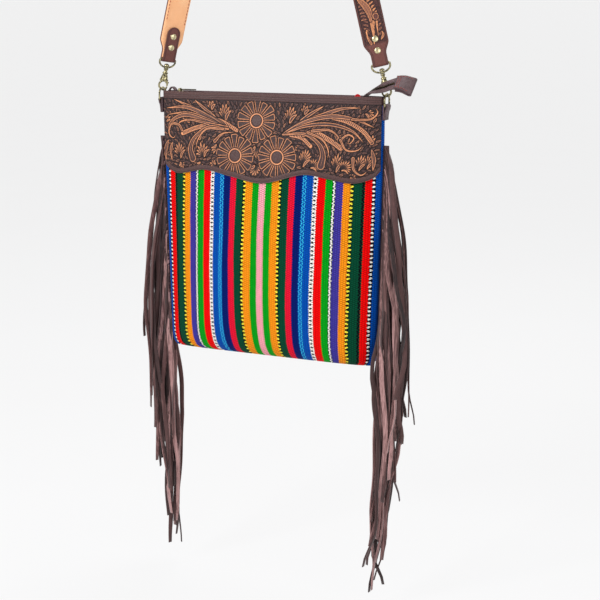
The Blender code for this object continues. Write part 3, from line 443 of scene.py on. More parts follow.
class StripedCloth(Finish):
    """Heavy cotton cloth in warp stripes, with figured bands between plain ones."""

    reach = 0.170
    repeat = 0.0054
    scallop = 0.00055
    scallop_length = 0.0034
    binding = 0.0095
    drift = 0.0016
    yarn_width = 0.0031
    pick_length = 0.0028

    def __init__(self, effects: SharedEffects) -> None:
        """Build the stripes, the weave with painted shade in its valleys, the fuzz and the leather
        binding of the mouth.
        """
        super().__init__("striped_cloth", effects, roughness=0.95, Sheen_Weight=0.02,
                         Sheen_Roughness=0.4, Specular_IOR_Level=0.08)
        board = self.board
        cloth = board.node("ShaderNodeSeparateXYZ", {0: board.attribute("cloth").outputs["Vector"]})
        across, along = cloth.outputs[0], cloth.outputs[1]
        wave = board.math("SINE", board.math("MULTIPLY", along, 2 * pi / self.scallop_length))
        drift = board.noise(board.stretched(board.place(), (60, 60, 9)), 1.0, 2.0)
        drift = board.math("MULTIPLY", board.math("SUBTRACT", drift, 0.5), self.drift)
        spot = board.math("ADD", board.math("ABSOLUTE", board.math("ADD", across, drift)),
                          board.math("MULTIPLY", wave, self.scallop))
        share = board.math("DIVIDE", spot, self.reach)
        first = board.steps(share, self.bands(lambda stripe: stripe.yarn.value))
        second = board.steps(share, self.bands(
            lambda stripe: (stripe.second or stripe.yarn).value))
        mask = self.figure(share, along)
        colour = board.mix(mask, first, second)
        weave = board.node("ShaderNodeGroup", {"Across": across, "Along": along,
                                               "Yarn": self.yarn_width,
                                               "Pick": self.pick_length},
                           node_tree=effects.weave)
        tone = board.noise(board.stretched(board.place(), (700, 700, 160)), 1.0, 3.0)
        colour = board.mix(board.fit(tone, 0.3, 0.9, 0.0, 0.22), colour, (0.0, 0.0, 0.0))
        # painted shade: the weave's valleys darken the colour
        shade = board.fit(weave.outputs["Shade"], 0.0, 0.8, 0.34, 1.0)
        colour = board.mix(1.0, colour, shade, "MULTIPLY")
        bound = board.math("LESS_THAN", along, self.binding)
        self.colour(board.mix(bound, colour, DARK_HIDE.body))
        fuzz = board.noise(board.place(), 2600.0, 2.0)
        self.bump((weave.outputs["Height"], Bump(0.0005, 0.9)), (fuzz, Bump(0.00012, 0.5)))

    def figure(self, share: bpy.types.NodeSocket,
               along: bpy.types.NodeSocket) -> bpy.types.NodeSocket:
        """Where the second yarn shows, from each stripe's middle, half width and figure."""
        board = self.board
        layout = []
        for (place, stripe), (after, _) in zip(self.starts(), self.starts()[1:] + [(1.0, None)]):
            layout.append((place, ((place + after) / 2, (after - place) / 2,
                                   stripe.figure.value)))
        split = board.node("ShaderNodeSeparateColor", {0: board.steps(share, layout)})
        offset = board.math("DIVIDE", board.math("SUBTRACT", share, split.outputs[0]),
                            board.math("MAXIMUM", split.outputs[1], 0.001))
        turn = board.math("MULTIPLY", along, 2 * pi / self.repeat)
        swing = board.math("SINE", turn)
        middle = board.math("ABSOLUTE", offset)
        dot = board.math("SUBTRACT", board.math("MULTIPLY_ADD", swing, -0.74, 0.16),
                         board.math("MULTIPLY", middle, middle))
        blocks = board.fit(dot, -0.08, 0.12, 1.0, 0.0)
        eye = board.math("SUBTRACT", board.math("MULTIPLY_ADD", swing, 0.74, 0.06), middle)
        chain = board.fit(eye, -0.02, 0.10)
        line = board.math("ABSOLUTE", board.math("SUBTRACT", offset, board.math(
            "MULTIPLY_ADD", swing, 0.30, 0.18)))
        wave = board.fit(line, 0.48, 0.62, 1.0, 0.0)
        pair = board.math("ABSOLUTE", board.math("SUBTRACT", middle, board.math(
            "MULTIPLY_ADD", swing, 0.20, 0.45)))
        twist = board.fit(pair, 0.13, 0.22, 1.0, 0.0)
        mask = 0.0
        for kind, shown in ((Figure.BLOCKS, blocks), (Figure.CHAIN, chain),
                            (Figure.WAVE, wave), (Figure.TWIST, twist)):
            here = board.math("COMPARE", split.outputs[2], kind.value, 0.1)
            mask = board.math("MULTIPLY_ADD", here, shown, mask)
        return mask

    def starts(self) -> list[tuple[float, Stripe]]:
        """Where each stripe starts, as a share of the reach, with the stripe."""
        made, place = [], 0.0
        for stripe in STRIPES:
            made.append((min(place / self.reach, 1.0), stripe))
            place += stripe.width
        return made

    def bands(self, pick: Callable[[Stripe], Colour]) -> list[tuple[float, Colour]]:
        """Stops of even colour for one of the stripe's yarns."""
        return [(place, pick(stripe)) for place, stripe in self.starts()]


# Leathers, metal and thread

@dataclass(frozen=True)
class Hide:
    """Colours of one leather."""

    body: Colour
    light: Colour
    dark: Colour


# the dark of the plain hides (dark and tan) is painted shade in the grain's creases
DARK_HIDE = Hide(srgb(86, 63, 65), srgb(104, 81, 85), srgb(36, 28, 32))
# the light of the tooled hides is crest copper, painted highlight and rubbed dye; their dark is
# ground dye, and painted shade in the cuts
TOOLED_HIDE = Hide(srgb(82, 56, 54), srgb(230, 152, 106), srgb(10, 9, 16))
STRAP_HIDE = Hide(srgb(106, 62, 56), srgb(232, 154, 104), srgb(24, 16, 24))
TAN_HIDE = Hide(srgb(248, 186, 136), srgb(252, 202, 156), srgb(212, 142, 96))
# the fringe's dark is painted shade and its light a painted highlight, at the ends of its random
# tone
SPLIT_HIDE = Hide(srgb(104, 70, 68), srgb(172, 132, 130), srgb(14, 9, 14))


class PlainLeather(Finish):
    """Smooth finished leather with a fine grain, uneven dye and painted shade in the grain's
    creases.
    """

    def __init__(self, name: str, effects: SharedEffects, hide: Hide, roughness: float = 0.42,
                 grain: float = 1300.0, depth: float = 0.00010) -> None:
        """Build it.

        Args:
            name: The material's name.
            effects: The shared node groups.
            hide: Its colours.
            roughness: Its roughness where it is smooth.
            grain: Cells of grain to a metre.
            depth: Depth of the grain.
        """
        super().__init__(name, effects, Specular_IOR_Level=0.4, Coat_Weight=0.08,
                         Coat_Roughness=0.3)
        grained = self.grain(grain)
        patches = self.wear(34.0, 0.45)
        colour = self.board.mix(patches, hide.body, hide.light)
        # painted shade: the grain's creases darken towards the hide's dark colour
        colour = self.board.mix(self.board.fit(grained.outputs["Shade"], 0.0, 0.5, 0.55, 0.0),
                                colour, hide.dark)
        self.colour(colour)
        self.rough(self.board.fit(patches, 0.0, 1.0, roughness, roughness + 0.14))
        self.bump((grained.outputs["Height"], Bump(depth)))


class TooledLeather(Finish):
    """Carved leather: dark stippled ground, brown relief, copper crests of painted highlight and
    rubbed dye, and painted shade in the cuts.
    """

    def __init__(self, name: str, effects: SharedEffects, hide: Hide) -> None:
        """Build it from the piece's own crest, ground and cut attributes."""
        super().__init__(name, effects, Specular_IOR_Level=0.32, Coat_Weight=0.06,
                         Coat_Roughness=0.25)
        board = self.board
        crest = board.attribute("crest").outputs["Fac"]
        ground = board.attribute("ground").outputs["Fac"]
        cut = board.attribute("cut").outputs["Fac"]
        grained = self.grain(1500.0)
        rub_and_highlight = self.wear(55.0, 0.62)
        # shine: painted highlight on the crests, with dye rubbed off them
        shine = board.math("MULTIPLY", board.fit(crest, 0.15, 0.75),
                           board.math("MULTIPLY_ADD", rub_and_highlight, 0.45, 0.55))
        colour = board.mix(shine, hide.body, hide.light)
        stipple = board.node("ShaderNodeTexVoronoi", {"Vector": board.place(), "Scale": 620.0},
                             feature="F1").outputs[0]
        pits = board.fit(stipple, 0.15, 0.6, 1.0, 0.55)
        colour = board.mix(board.math("MULTIPLY", ground, pits), colour, hide.dark)
        # painted shade in the cuts and pressed creases, over dye that gathers in them
        colour = board.mix(board.math("MULTIPLY", cut, 0.85), colour, hide.dark)
        self.colour(colour)
        self.rough(board.fit(board.math("ADD", ground, cut), 0.0, 1.0, 0.34, 0.6))
        dots = board.math("MULTIPLY", stipple, ground)
        self.bump((dots, Bump(0.0006, 0.8)), (grained.outputs["Height"], Bump(0.00008)))


class SplitLeather(Finish):
    """Soft split leather of the fringe, streaked along each strip; the dark end of its tone is
    painted shade and the light end a painted highlight.
    """

    def __init__(self, effects: SharedEffects) -> None:
        """Build it from the strips' own tone attribute."""
        super().__init__("fringe_leather", effects, roughness=0.7, Sheen_Weight=0.2,
                         Sheen_Roughness=0.5, Specular_IOR_Level=0.35)
        board = self.board
        tone = board.attribute("tone").outputs["Fac"]
        streaks = board.noise(board.stretched(board.place(), (900, 900, 45)), 1.0, 4.0)
        # painted shade at the dark end and painted highlight at the light end of each strip's tone
        # and streaks
        share = board.math("MULTIPLY_ADD", tone, 0.85, board.fit(streaks, 0.2, 0.8, -0.08, 0.34))
        colour = board.mix(share, SPLIT_HIDE.dark, SPLIT_HIDE.body)
        colour = board.mix(board.fit(share, 0.65, 1.05), colour, SPLIT_HIDE.light)
        self.colour(colour)
        fibres = board.noise(board.place(), 1700.0, 3.0)
        self.bump((streaks, Bump(0.0003, 0.6)), (fibres, Bump(0.00012, 0.6)))


class PlainCloth(Finish):
    """Plain woven cloth with painted shade in the weave's valleys, for the zip's tape and the bit
    of lining.
    """

    def __init__(self, name: str, effects: SharedEffects, colour: Colour) -> None:
        """Build it in one dye."""
        super().__init__(name, effects, roughness=0.9, Sheen_Weight=0.3, Specular_IOR_Level=0.2)
        board = self.board
        split = board.node("ShaderNodeSeparateXYZ", {0: board.place()})
        weave = board.node("ShaderNodeGroup", {"Across": split.outputs[0],
                                               "Along": split.outputs[2], "Yarn": 0.0007,
                                               "Pick": 0.0012}, node_tree=effects.weave)
        # painted shade: the weave's valleys darken the dye
        shade = board.fit(weave.outputs["Shade"], 0.0, 1.0, 0.55, 0.0)
        self.colour(board.mix(shade, colour, tuple(part * 0.45 for part in colour)))
        self.bump((weave.outputs["Height"], Bump(0.0002)))


@dataclass(frozen=True)
class Patina:
    """Polished and tarnished colour of a brass, and how much of it is tarnished."""

    bright: Colour
    dark: Colour
    share: float


class AgedBrass(Finish):
    """Antique brass, with tarnish in patches over the polished metal."""

    def __init__(self, name: str, effects: SharedEffects, patina: Patina) -> None:
        """Build it.

        Args:
            name: The material's name.
            effects: The shared node groups.
            patina: Its colours.
        """
        super().__init__(name, effects, metallic=1.0, Specular_IOR_Level=0.5)
        board = self.board
        tarnish = self.wear(420.0, patina.share)
        self.colour(board.mix(tarnish, patina.bright, patina.dark))
        self.rough(board.fit(tarnish, 0.0, 1.0, 0.24, 0.5))
        pits = board.noise(board.place(), 1800.0, 3.0)
        self.bump((pits, Bump(0.00005, 0.5)))


class Thread(Finish):
    """Waxed sewing thread with a twist."""

    def __init__(self, name: str, effects: SharedEffects, colour: Colour) -> None:
        """Build it in one colour."""
        super().__init__(name, effects, roughness=0.6, Sheen_Weight=0.2, Specular_IOR_Level=0.35)
        board = self.board
        twist = board.noise(board.place(), 2400.0, 2.0)
        self.colour(board.mix(board.fit(twist, 0.3, 0.7, 0.0, 0.5), colour,
                              tuple(part * 0.4 for part in colour)))
        self.bump((twist, Bump(0.0001)))


class PaleFloor(Finish):
    """Matt pale floor."""

    def __init__(self, effects: SharedEffects) -> None:
        """Build it."""
        super().__init__("pale_floor", effects, roughness=0.95, Specular_IOR_Level=0.1,
                         Emission_Strength=0.78)
        mottle = self.board.noise(self.board.place(), 3.0, 2.0)
        self.colour(self.board.mix(mottle, srgb(100, 100, 101), srgb(104, 104, 105)))
        self.shader.inputs["Emission Color"].default_value = (1.0, 1.0, 1.0, 1.0)


class Finishes:
    """Every material of the bag, made once."""

    def __init__(self) -> None:
        """Build the shared effects and the materials."""
        effects = SharedEffects()
        self.cloth = StripedCloth(effects).material
        self.tooled = TooledLeather("tooled_leather", effects, TOOLED_HIDE).material
        self.strap_tooled = TooledLeather("strap_tooled_leather", effects, STRAP_HIDE).material
        self.dark = PlainLeather("dark_leather", effects, DARK_HIDE).material
        self.tan = PlainLeather("tan_leather", effects, TAN_HIDE, 0.6, 1100.0, 0.00006).material
        self.split = SplitLeather(effects).material
        self.red_cloth = PlainCloth("red_lining", effects, srgb(205, 20, 30)).material
        self.tape = PlainCloth("zip_tape_cloth", effects, srgb(52, 36, 32)).material
        self.brass = AgedBrass("aged_brass", effects, Patina(
            srgb(196, 186, 144), srgb(58, 54, 44), 0.50)).material
        self.rivet_brass = AgedBrass("rivet_brass", effects, Patina(
            srgb(214, 202, 162), srgb(136, 124, 90), 0.34)).material
        # darker brass: tarnish, and painted shade for the gap that the teeth sit in and for the
        # puller
        self.shade_darkened_brass = AgedBrass("shade_darkened_teeth_brass", effects, Patina(
            srgb(104, 92, 68), srgb(44, 38, 32), 0.55)).material
        self.dark_thread = Thread("dark_thread", effects, srgb(58, 40, 36)).material
        self.red_thread = Thread("red_thread", effects, srgb(150, 52, 36)).material
        self.floor = PaleFloor(effects).material


# Mesh helpers

def grid(work: bmesh.types.BMesh, columns: int, rows: int, place: Place,
         numbers: Optional[dict[str, Place]] = None,
         vectors: Optional[dict[str, Place]] = None) -> list[bmesh.types.BMVert]:
    """Add a grid whose corners run from -1 to 1 and move each vertex to its place.

    Args:
        work: The mesh that gets the grid.
        columns: Faces across.
        rows: Faces along.
        place: Gives the points for two arrays of corner values.
        numbers: Gives the values of number attributes, by name.
        vectors: Gives the values of vector attributes, by name.

    Returns:
        The new vertices.
    """
    layers = {**(numbers or {}), **(vectors or {})}
    kinds = {name: work.verts.layers.float for name in numbers or {}}
    kinds.update({name: work.verts.layers.float_vector for name in vectors or {}})
    for name, kind in kinds.items():
        if name not in kind:
            kind.new(name)
    made = bmesh.ops.create_grid(work, x_segments=columns, y_segments=rows, size=1.0)["verts"]
    flat = np.array([vert.co[:2] for vert in made])
    for vert, spot in zip(made, place(flat[:, 0], flat[:, 1])):
        vert.co = spot
    for name, kind in kinds.items():
        layer = kind[name]
        values = layers[name](flat[:, 0], flat[:, 1])
        for vert, value in zip(made, values.tolist()):
            vert[layer] = value
    return made


def ring_edges(ring: Sequence[bmesh.types.BMVert]) -> list[bmesh.types.BMEdge]:
    """The edges between a ring's own vertices."""
    return [edge for edge in {edge for vert in ring for edge in vert.link_edges}
            if all(vert in ring for vert in edge.verts)]


def sweep(work: bmesh.types.BMesh, points: Sequence[Vector], radii, sides: int = 16,
          closed: bool = False) -> None:
    """Draw a round tube along points by extruding a circle.

    Args:
        work: The mesh that gets the tube.
        points: The tube's middle line.
        radii: One radius, or one for each point.
        sides: Sides of the circle.
        closed: Whether the tube's end joins its start.
    """
    points = [Vector(point) for point in points]
    count = len(points)
    if isinstance(radii, (int, float)):
        radii = [radii] * count
    first = bmesh.ops.create_circle(work, segments=sides, radius=1.0)["verts"]
    shape = [Vector(vert.co) for vert in first]
    across = None
    ring, start = first, first
    for index, point in enumerate(points):
        ahead = points[(index + 1) % count] if closed or index < count - 1 else point
        behind = points[index - 1] if closed or index else point
        run = (ahead - behind).normalized()
        if across is None:
            across = run.orthogonal().normalized()
        across = (across - run * across.dot(run)).normalized()
        up = run.cross(across)
        if index:
            made = bmesh.ops.extrude_edge_only(work, edges=ring_edges(ring))["geom"]
            fresh = {item for item in made if isinstance(item, bmesh.types.BMVert)}
            ring = [next(edge.other_vert(vert) for edge in vert.link_edges
                         if edge.other_vert(vert) in fresh) for vert in ring]
        for vert, corner in zip(ring, shape):
            vert.co = point + (across * corner.x + up * corner.y) * radii[index]
    if closed:
        bmesh.ops.bridge_loops(work, edges=ring_edges(start) + ring_edges(ring))
    else:
        for circle in (start, ring):
            bmesh.ops.contextual_create(work, geom=list(circle))


def lathe(work: bmesh.types.BMesh, profile: Sequence[tuple[float, float]], matrix: Matrix,
          steps: int) -> None:
    """Turn a profile of radius and height about Z and set it in place.

    Args:
        work: The mesh that gets the turned form.
        profile: Radius and height of each corner, down the outer side.
        matrix: Where the form goes.
        steps: Steps of the turn.
    """
    verts = [work.verts.new((radius, 0.0, height)) for radius, height in profile]
    edges = [work.edges.new(pair) for pair in zip(verts, verts[1:])]
    made = bmesh.ops.spin(work, geom=verts + edges, axis=(0, 0, 1), cent=(0, 0, 0),
                          angle=2 * pi, steps=steps, use_merge=True)
    whole = {vert for item in made["geom_last"] for vert in getattr(item, "verts", (item,))}
    linked = set(verts) | whole
    todo = list(linked)
    while todo:
        for edge in todo.pop().link_edges:
            for vert in edge.verts:
                if vert not in linked:
                    linked.add(vert)
                    todo.append(vert)
    bmesh.ops.remove_doubles(work, verts=list(linked), dist=1e-6)
    kept = [vert for vert in linked if vert.is_valid]
    bmesh.ops.transform(work, matrix=matrix, verts=kept)


def bevelled_block(work: bmesh.types.BMesh, matrix: Matrix, size: Sequence[float],
                   bevel: float, segments: int) -> None:
    """Add a block of the given size with bevelled edges."""
    scale = Matrix.Diagonal((*size, 1.0))
    made = bmesh.ops.create_cube(work, size=1.0, matrix=matrix @ scale)["verts"]
    edges = list({edge for vert in made for edge in vert.link_edges})
    bmesh.ops.bevel(work, geom=edges, offset=bevel, offset_type="OFFSET", segments=segments,
                    profile=0.5, affect="EDGES", material=-1)


def arc(centre: tuple[float, float], radii: tuple[float, float], start: float, end: float,
        steps: int) -> list[tuple[float, float]]:
    """Points on an ellipse's arc in a plane, from one angle to another in degrees."""
    angles = [radians(mixed(start, end, step / steps)) for step in range(steps + 1)]
    return [(centre[0] + radii[0] * cos(angle), centre[1] + radii[1] * sin(angle))
            for angle in angles]


def d_outline(half: float, height: float, crown: float,
              corner: float) -> list[tuple[float, float]]:
    """Outline of a D that stands on its straight bar.

    Args:
        half: Half its width.
        height: Its height.
        crown: Height of the domed part of it.
        corner: Radius of the bar's two corners.

    Returns:
        Places across and over the bar, round the D.
    """
    return (arc((half - corner, corner), (corner, corner), -90, 0, 6)
            + arc((0.0, height - crown), (half, crown), 5, 175, 34)
            + arc((corner - half, corner), (corner, corner), 180, 270, 6))


@dataclass(frozen=True)
class Stitches:
    """Rows of stitches: short rounded bars that dip into the leather at both ends."""

    length: float
    pitch: float
    radius: float
    bends = (-0.5, -0.25, 0.25, 0.5)
    rises = (-0.3, 0.7, 0.7, -0.3)
    thins = (0.6, 1.0, 1.0, 0.6)
    sides = 5

    def row(self, work: bmesh.types.BMesh, points: np.ndarray, normals: np.ndarray) -> None:
        """Sew along a line.

        Args:
            work: The mesh that gets the stitches.
            points: The line on the surface.
            normals: The surface's outward direction at each point.
        """
        steps = np.linalg.norm(np.diff(points, axis=0), axis=1)
        lengths = np.concatenate([[0.0], np.cumsum(steps)])
        count = int(lengths[-1] / self.pitch)
        for index in range(count):
            middle = (index + 0.5) * self.pitch
            spots = [middle + self.length * share for share in self.bends]
            line, lift = (np.array([np.interp(spots, lengths, table[:, axis])
                                    for axis in range(3)]).T for table in (points, normals))
            rise = np.array(self.rises)[:, None] * self.radius
            sweep(work, [Vector(spot) for spot in line + lift * rise],
                  [self.radius * share for share in self.thins], self.sides)


YOKE_SEWING = Stitches(0.0024, 0.0034, 0.0003)
ZIP_SEWING = Stitches(0.0022, 0.0032, 0.00026)
PATCH_SEWING = Stitches(0.0024, 0.0036, 0.00036)
STRAP_SEWING = Stitches(0.0030, 0.0044, 0.00044)
TAB_SEWING = Stitches(0.0020, 0.0028, 0.00028)


def add_object(name: str, data: bpy.types.ID) -> bpy.types.Object:
    """Put an object that shows the data into the scene."""
    obj = bpy.data.objects.new(name, data)
    bpy.context.scene.collection.objects.link(obj)
    return obj


def mesh_of(name: str, work: bmesh.types.BMesh, material: bpy.types.Material) -> bpy.types.Mesh:
    """Turn a bmesh, which is freed, into a mesh of one material."""
    mesh = bpy.data.meshes.new(name)
    work.to_mesh(mesh)
    work.free()
    mesh.materials.append(material)
    return mesh


def new_piece(name: str, work: bmesh.types.BMesh, material: bpy.types.Material,
              body: str = "bag", replaces: Sequence[str] = (), angle: float = 40.0,
              turn_out: bool = True) -> bpy.types.Object:
    """Turn a finished bmesh into a piece that rides on a body.

    Args:
        name: The piece's name.
        work: Its mesh, which is freed.
        material: Its material.
        body: The body that it moves with.
        replaces: The solids that it stands for.
        angle: The crease from which an edge stays sharp, in degrees.
        turn_out: Whether to recalculate the normals.

    Returns:
        The object.
    """
    if turn_out:
        bmesh.ops.recalc_face_normals(work, faces=work.faces)
    mesh = mesh_of(name, work, material)
    mesh.shade_smooth()
    mesh.set_sharp_from_angle(angle=radians(angle))
    obj = add_object(name, mesh)
    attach(obj, body)
    if replaces:
        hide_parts(*replaces)
    LOG.info("%s: %d faces", name, len(mesh.polygons))
    return obj


def lay_sheet(name: str, size: tuple[int, int], place: Place, material: bpy.types.Material,
              node: str) -> bpy.types.Object:
    """Lay a grid of columns and rows as a smooth sheet that stands for one solid."""
    work = bmesh.new()
    grid(work, *size, place)
    return new_piece(name, work, material, replaces=[node], angle=180.0, turn_out=False)


def turn_faces(obj: bpy.types.Object, way: Sequence[float],
               faces: Optional[Sequence[bpy.types.MeshPolygon]] = None) -> None:
    """Flip a sheet where the given faces, or all of them, look away from a direction."""
    mesh = obj.data
    ahead = Vector(way)
    if sum(face.area * face.normal.dot(ahead) for face in faces or mesh.polygons) < 0:
        mesh.flip_normals()


def thicken(obj: bpy.types.Object, thickness: float, offset: float = -1.0) -> None:
    """Give a sheet its wall, by default on the inner side of its faces."""
    modifier = obj.modifiers.new("wall", "SOLIDIFY")
    modifier.thickness = thickness
    modifier.offset = offset
    modifier.use_even_offset = False


def repaint(material: bpy.types.Material, *nodes: str) -> None:
    """Give solids that keep their shape a better material."""
    for name in nodes:
        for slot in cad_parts[name].material_slots:
            slot.material = material


# The bag's form

BODY_ROWS = np.array([
    (0.000, 1.000, 0.23, 7.0),
    (0.050, 1.000, 0.28, 5.6),
    (0.150, 0.998, 0.44, 3.8),
    (0.300, 0.994, 0.65, 2.8),
    (0.450, 0.988, 0.83, 2.6),
    (0.600, 0.982, 0.95, 2.6),
    (0.730, 0.977, 1.00, 2.8),
    (0.830, 0.973, 0.97, 3.2),
    (0.900, 0.970, 0.88, 3.8),
    (0.950, 0.966, 0.72, 4.6),
    (0.984, 0.952, 0.48, 5.4),
    (1.000, 0.922, 0.24, 6.0),
])

YOKE_ROWS = np.array([
    (-1.00, 0.80),
    (-0.96, 0.88),
    (-0.83, 0.950),
    (-0.55, 0.885),
    (-0.30, 0.940),
    (0.00, 1.000),
    (0.37, 0.880),
    (0.60, 0.920),
    (0.78, 0.955),
    (0.94, 0.890),
    (1.00, 0.780),
])


@dataclass(frozen=True)
class BagForm:
    """The bag's outer skin, as shares across and drops below the mouth."""

    width: float = 0.311
    height: float = 0.350
    depth: float = 0.084
    seam: float = 0.0064
    curve: float = 0.80

    def section(self, drop: np.ndarray) -> tuple[np.ndarray, np.ndarray, np.ndarray]:
        """Half width, half depth and fullness at drops below the mouth."""
        rows = read_rows(BODY_ROWS, np.clip(drop / self.height, 0.0, 1.0))
        return rows[:, 1] * self.width / 2, rows[:, 2] * self.depth / 2, rows[:, 3]

    def half_depth(self, across: np.ndarray, drop: np.ndarray, wall: float = 0.0) -> np.ndarray:
        """Half depth of the skin, or of one inside it, at shares across and drops."""
        _, half, fullness = self.section(drop)
        bulge = np.maximum(1 - np.abs(across) ** fullness, 0.0) ** self.curve
        return self.seam / 2 - wall + (half - self.seam / 2) * bulge

    def skin(self, across: np.ndarray, drop: np.ndarray, side: int = -1) -> np.ndarray:
        """Points on the skin; side -1 is the front."""
        half_width = self.section(drop)[0]
        return np.stack([half_width * across, side * self.half_depth(across, drop),
                         -drop - STRAP_DROP], axis=1)

    def normals(self, across: np.ndarray, drop: np.ndarray, side: int = -1) -> np.ndarray:
        """Outward directions of the skin."""
        step = 0.002
        held = np.clip(across, -1 + step, 1 - step)
        along = self.skin(held + step, drop, side) - self.skin(held - step, drop, side)
        above = np.maximum(drop - step / 2, 0.0)
        down = self.skin(held, drop + step / 2, side) - self.skin(held, above, side)
        normal = unit(np.cross(along, down))
        return np.where((normal[:, 1] * side < 0)[:, None], -normal, normal)

    def lifted(self, across: np.ndarray, drop: np.ndarray, lift: np.ndarray,
               side: int = -1) -> np.ndarray:
        """Points off the skin along its own normal."""
        held = np.clip(across, -0.998, 0.998)
        return self.skin(held, drop, side) + self.normals(held, drop, side) * lift[:, None]


BAG = BagForm()


@dataclass
class WovenBody:
    """The striped cloth body, open at the mouth, with soft waves where it hangs free."""

    columns: int = 150
    seam_steps: int = 4
    rows: int = 130
    bottom_rows: int = 6
    wall: float = 0.0021
    wave: float = 0.0011
    free_from: float = 0.116
    free_to: float = 0.342
    seam_weld: float = 0.00002

    def ring(self) -> tuple[np.ndarray, np.ndarray]:
        """Share across and share of the depth of each corner round the body."""
        share = np.sin(pi / 2 * np.linspace(-1, 1, self.columns + 1))
        seam = np.linspace(-1, 1, self.seam_steps + 1)[1:-1]
        across = np.concatenate([share, np.ones(len(seam)), share[::-1], -np.ones(len(seam))])
        depth = np.concatenate([-np.ones(len(share)), seam, np.ones(len(share)), seam[::-1]])
        return across, depth

    def place(self, u: np.ndarray, v: np.ndarray) -> tuple[np.ndarray, ...]:
        """Share across, share of the depth, drop and closing share for each corner."""
        across, depth = self.ring()
        index = nearest(u, len(across)) % len(across)
        row = np.rint((1 - v) / 2 * (self.rows + self.bottom_rows))
        drop = np.minimum(row / self.rows, 1.0) * BAG.height
        close = np.clip((row - self.rows) / self.bottom_rows, 0.0, 1.0)
        return across[index], depth[index], drop, close

    def points(self, u: np.ndarray, v: np.ndarray) -> np.ndarray:
        """Where each corner of the cloth lies."""
        across, depth, drop, close = self.place(u, v)
        half_width = BAG.section(drop)[0]
        half = BAG.half_depth(across, drop)
        free = smooth((drop - self.free_from) / 0.05) * smooth((self.free_to - drop) / 0.03)
        edge = 1 - np.abs(across) ** 4
        ripple = (np.sin(across * 9.0 + drop * 17.0) + 0.7 * np.sin(across * 23.0 - drop * 31.0)
                  + 0.5 * np.sin(drop * 74.0 + across * 5.0))
        half = half + ripple * self.wave * 0.5 * free * edge
        sag = close * (1 - close) * 0.002
        return np.stack([half_width * across * (1 - 0.01 * close), depth * half * (1 - close),
                         -drop - sag - STRAP_DROP], axis=1)

    def cloth(self, u: np.ndarray, v: np.ndarray) -> np.ndarray:
        """Cloth coordinates: across in metres from the middle, and along from the mouth."""
        across, depth, drop, close = self.place(u, v)
        half = BAG.half_depth(across, drop)
        return np.stack([across * BAG.width / 2, drop + close * half, depth], axis=1)

    def build(self, finishes: Finishes) -> None:
        """Make the body and put it in place of its solid."""
        work = bmesh.new()
        count = len(self.ring()[0])
        grid(work, count, self.rows + self.bottom_rows, self.points,
             vectors={"cloth": self.cloth})
        bmesh.ops.remove_doubles(work, verts=work.verts, dist=self.seam_weld)
        obj = new_piece("woven_body", work, finishes.cloth,
                        replaces=["bag_body"], angle=70.0)
        thicken(obj, self.wall)


# Tooling

class Taper(Enum):
    """How a carved stroke's width runs from its root to its tip."""

    LEAF = "leaf"
    CLUB = "club"
    HORN = "horn"
    EVEN = "even"

    def share(self, along: np.ndarray) -> np.ndarray:
        """Width as a share of the widest, from the root at 0 to the tip at 1."""
        if self is Taper.LEAF:
            return 0.06 + 0.94 * np.sin(pi * along ** 0.85) ** 0.8
        if self is Taper.CLUB:
            return 0.25 + 0.75 * along ** 1.5
        if self is Taper.HORN:
            return 0.12 + 0.88 * (1 - along) ** 0.7
        return np.ones_like(along)


@dataclass(frozen=True)
class Stroke:
    """One carved stroke: the points that it curves through, its half width and its form, in mm."""

    points: tuple[tuple[float, float], ...]
    width: float
    taper: Taper = Taper.LEAF
    vein: bool = True
    beads: float = 0.0
    rub_and_highlight: float = 1.0
    fill: float = 0.0

    def line(self, count: int = 26) -> np.ndarray:
        """A smooth line through the stroke's points."""
        table = np.array([(index, *point) for index, point in enumerate(self.points)], float)
        return read_rows(table, np.linspace(0, len(self.points) - 1, count))[:, 1:]


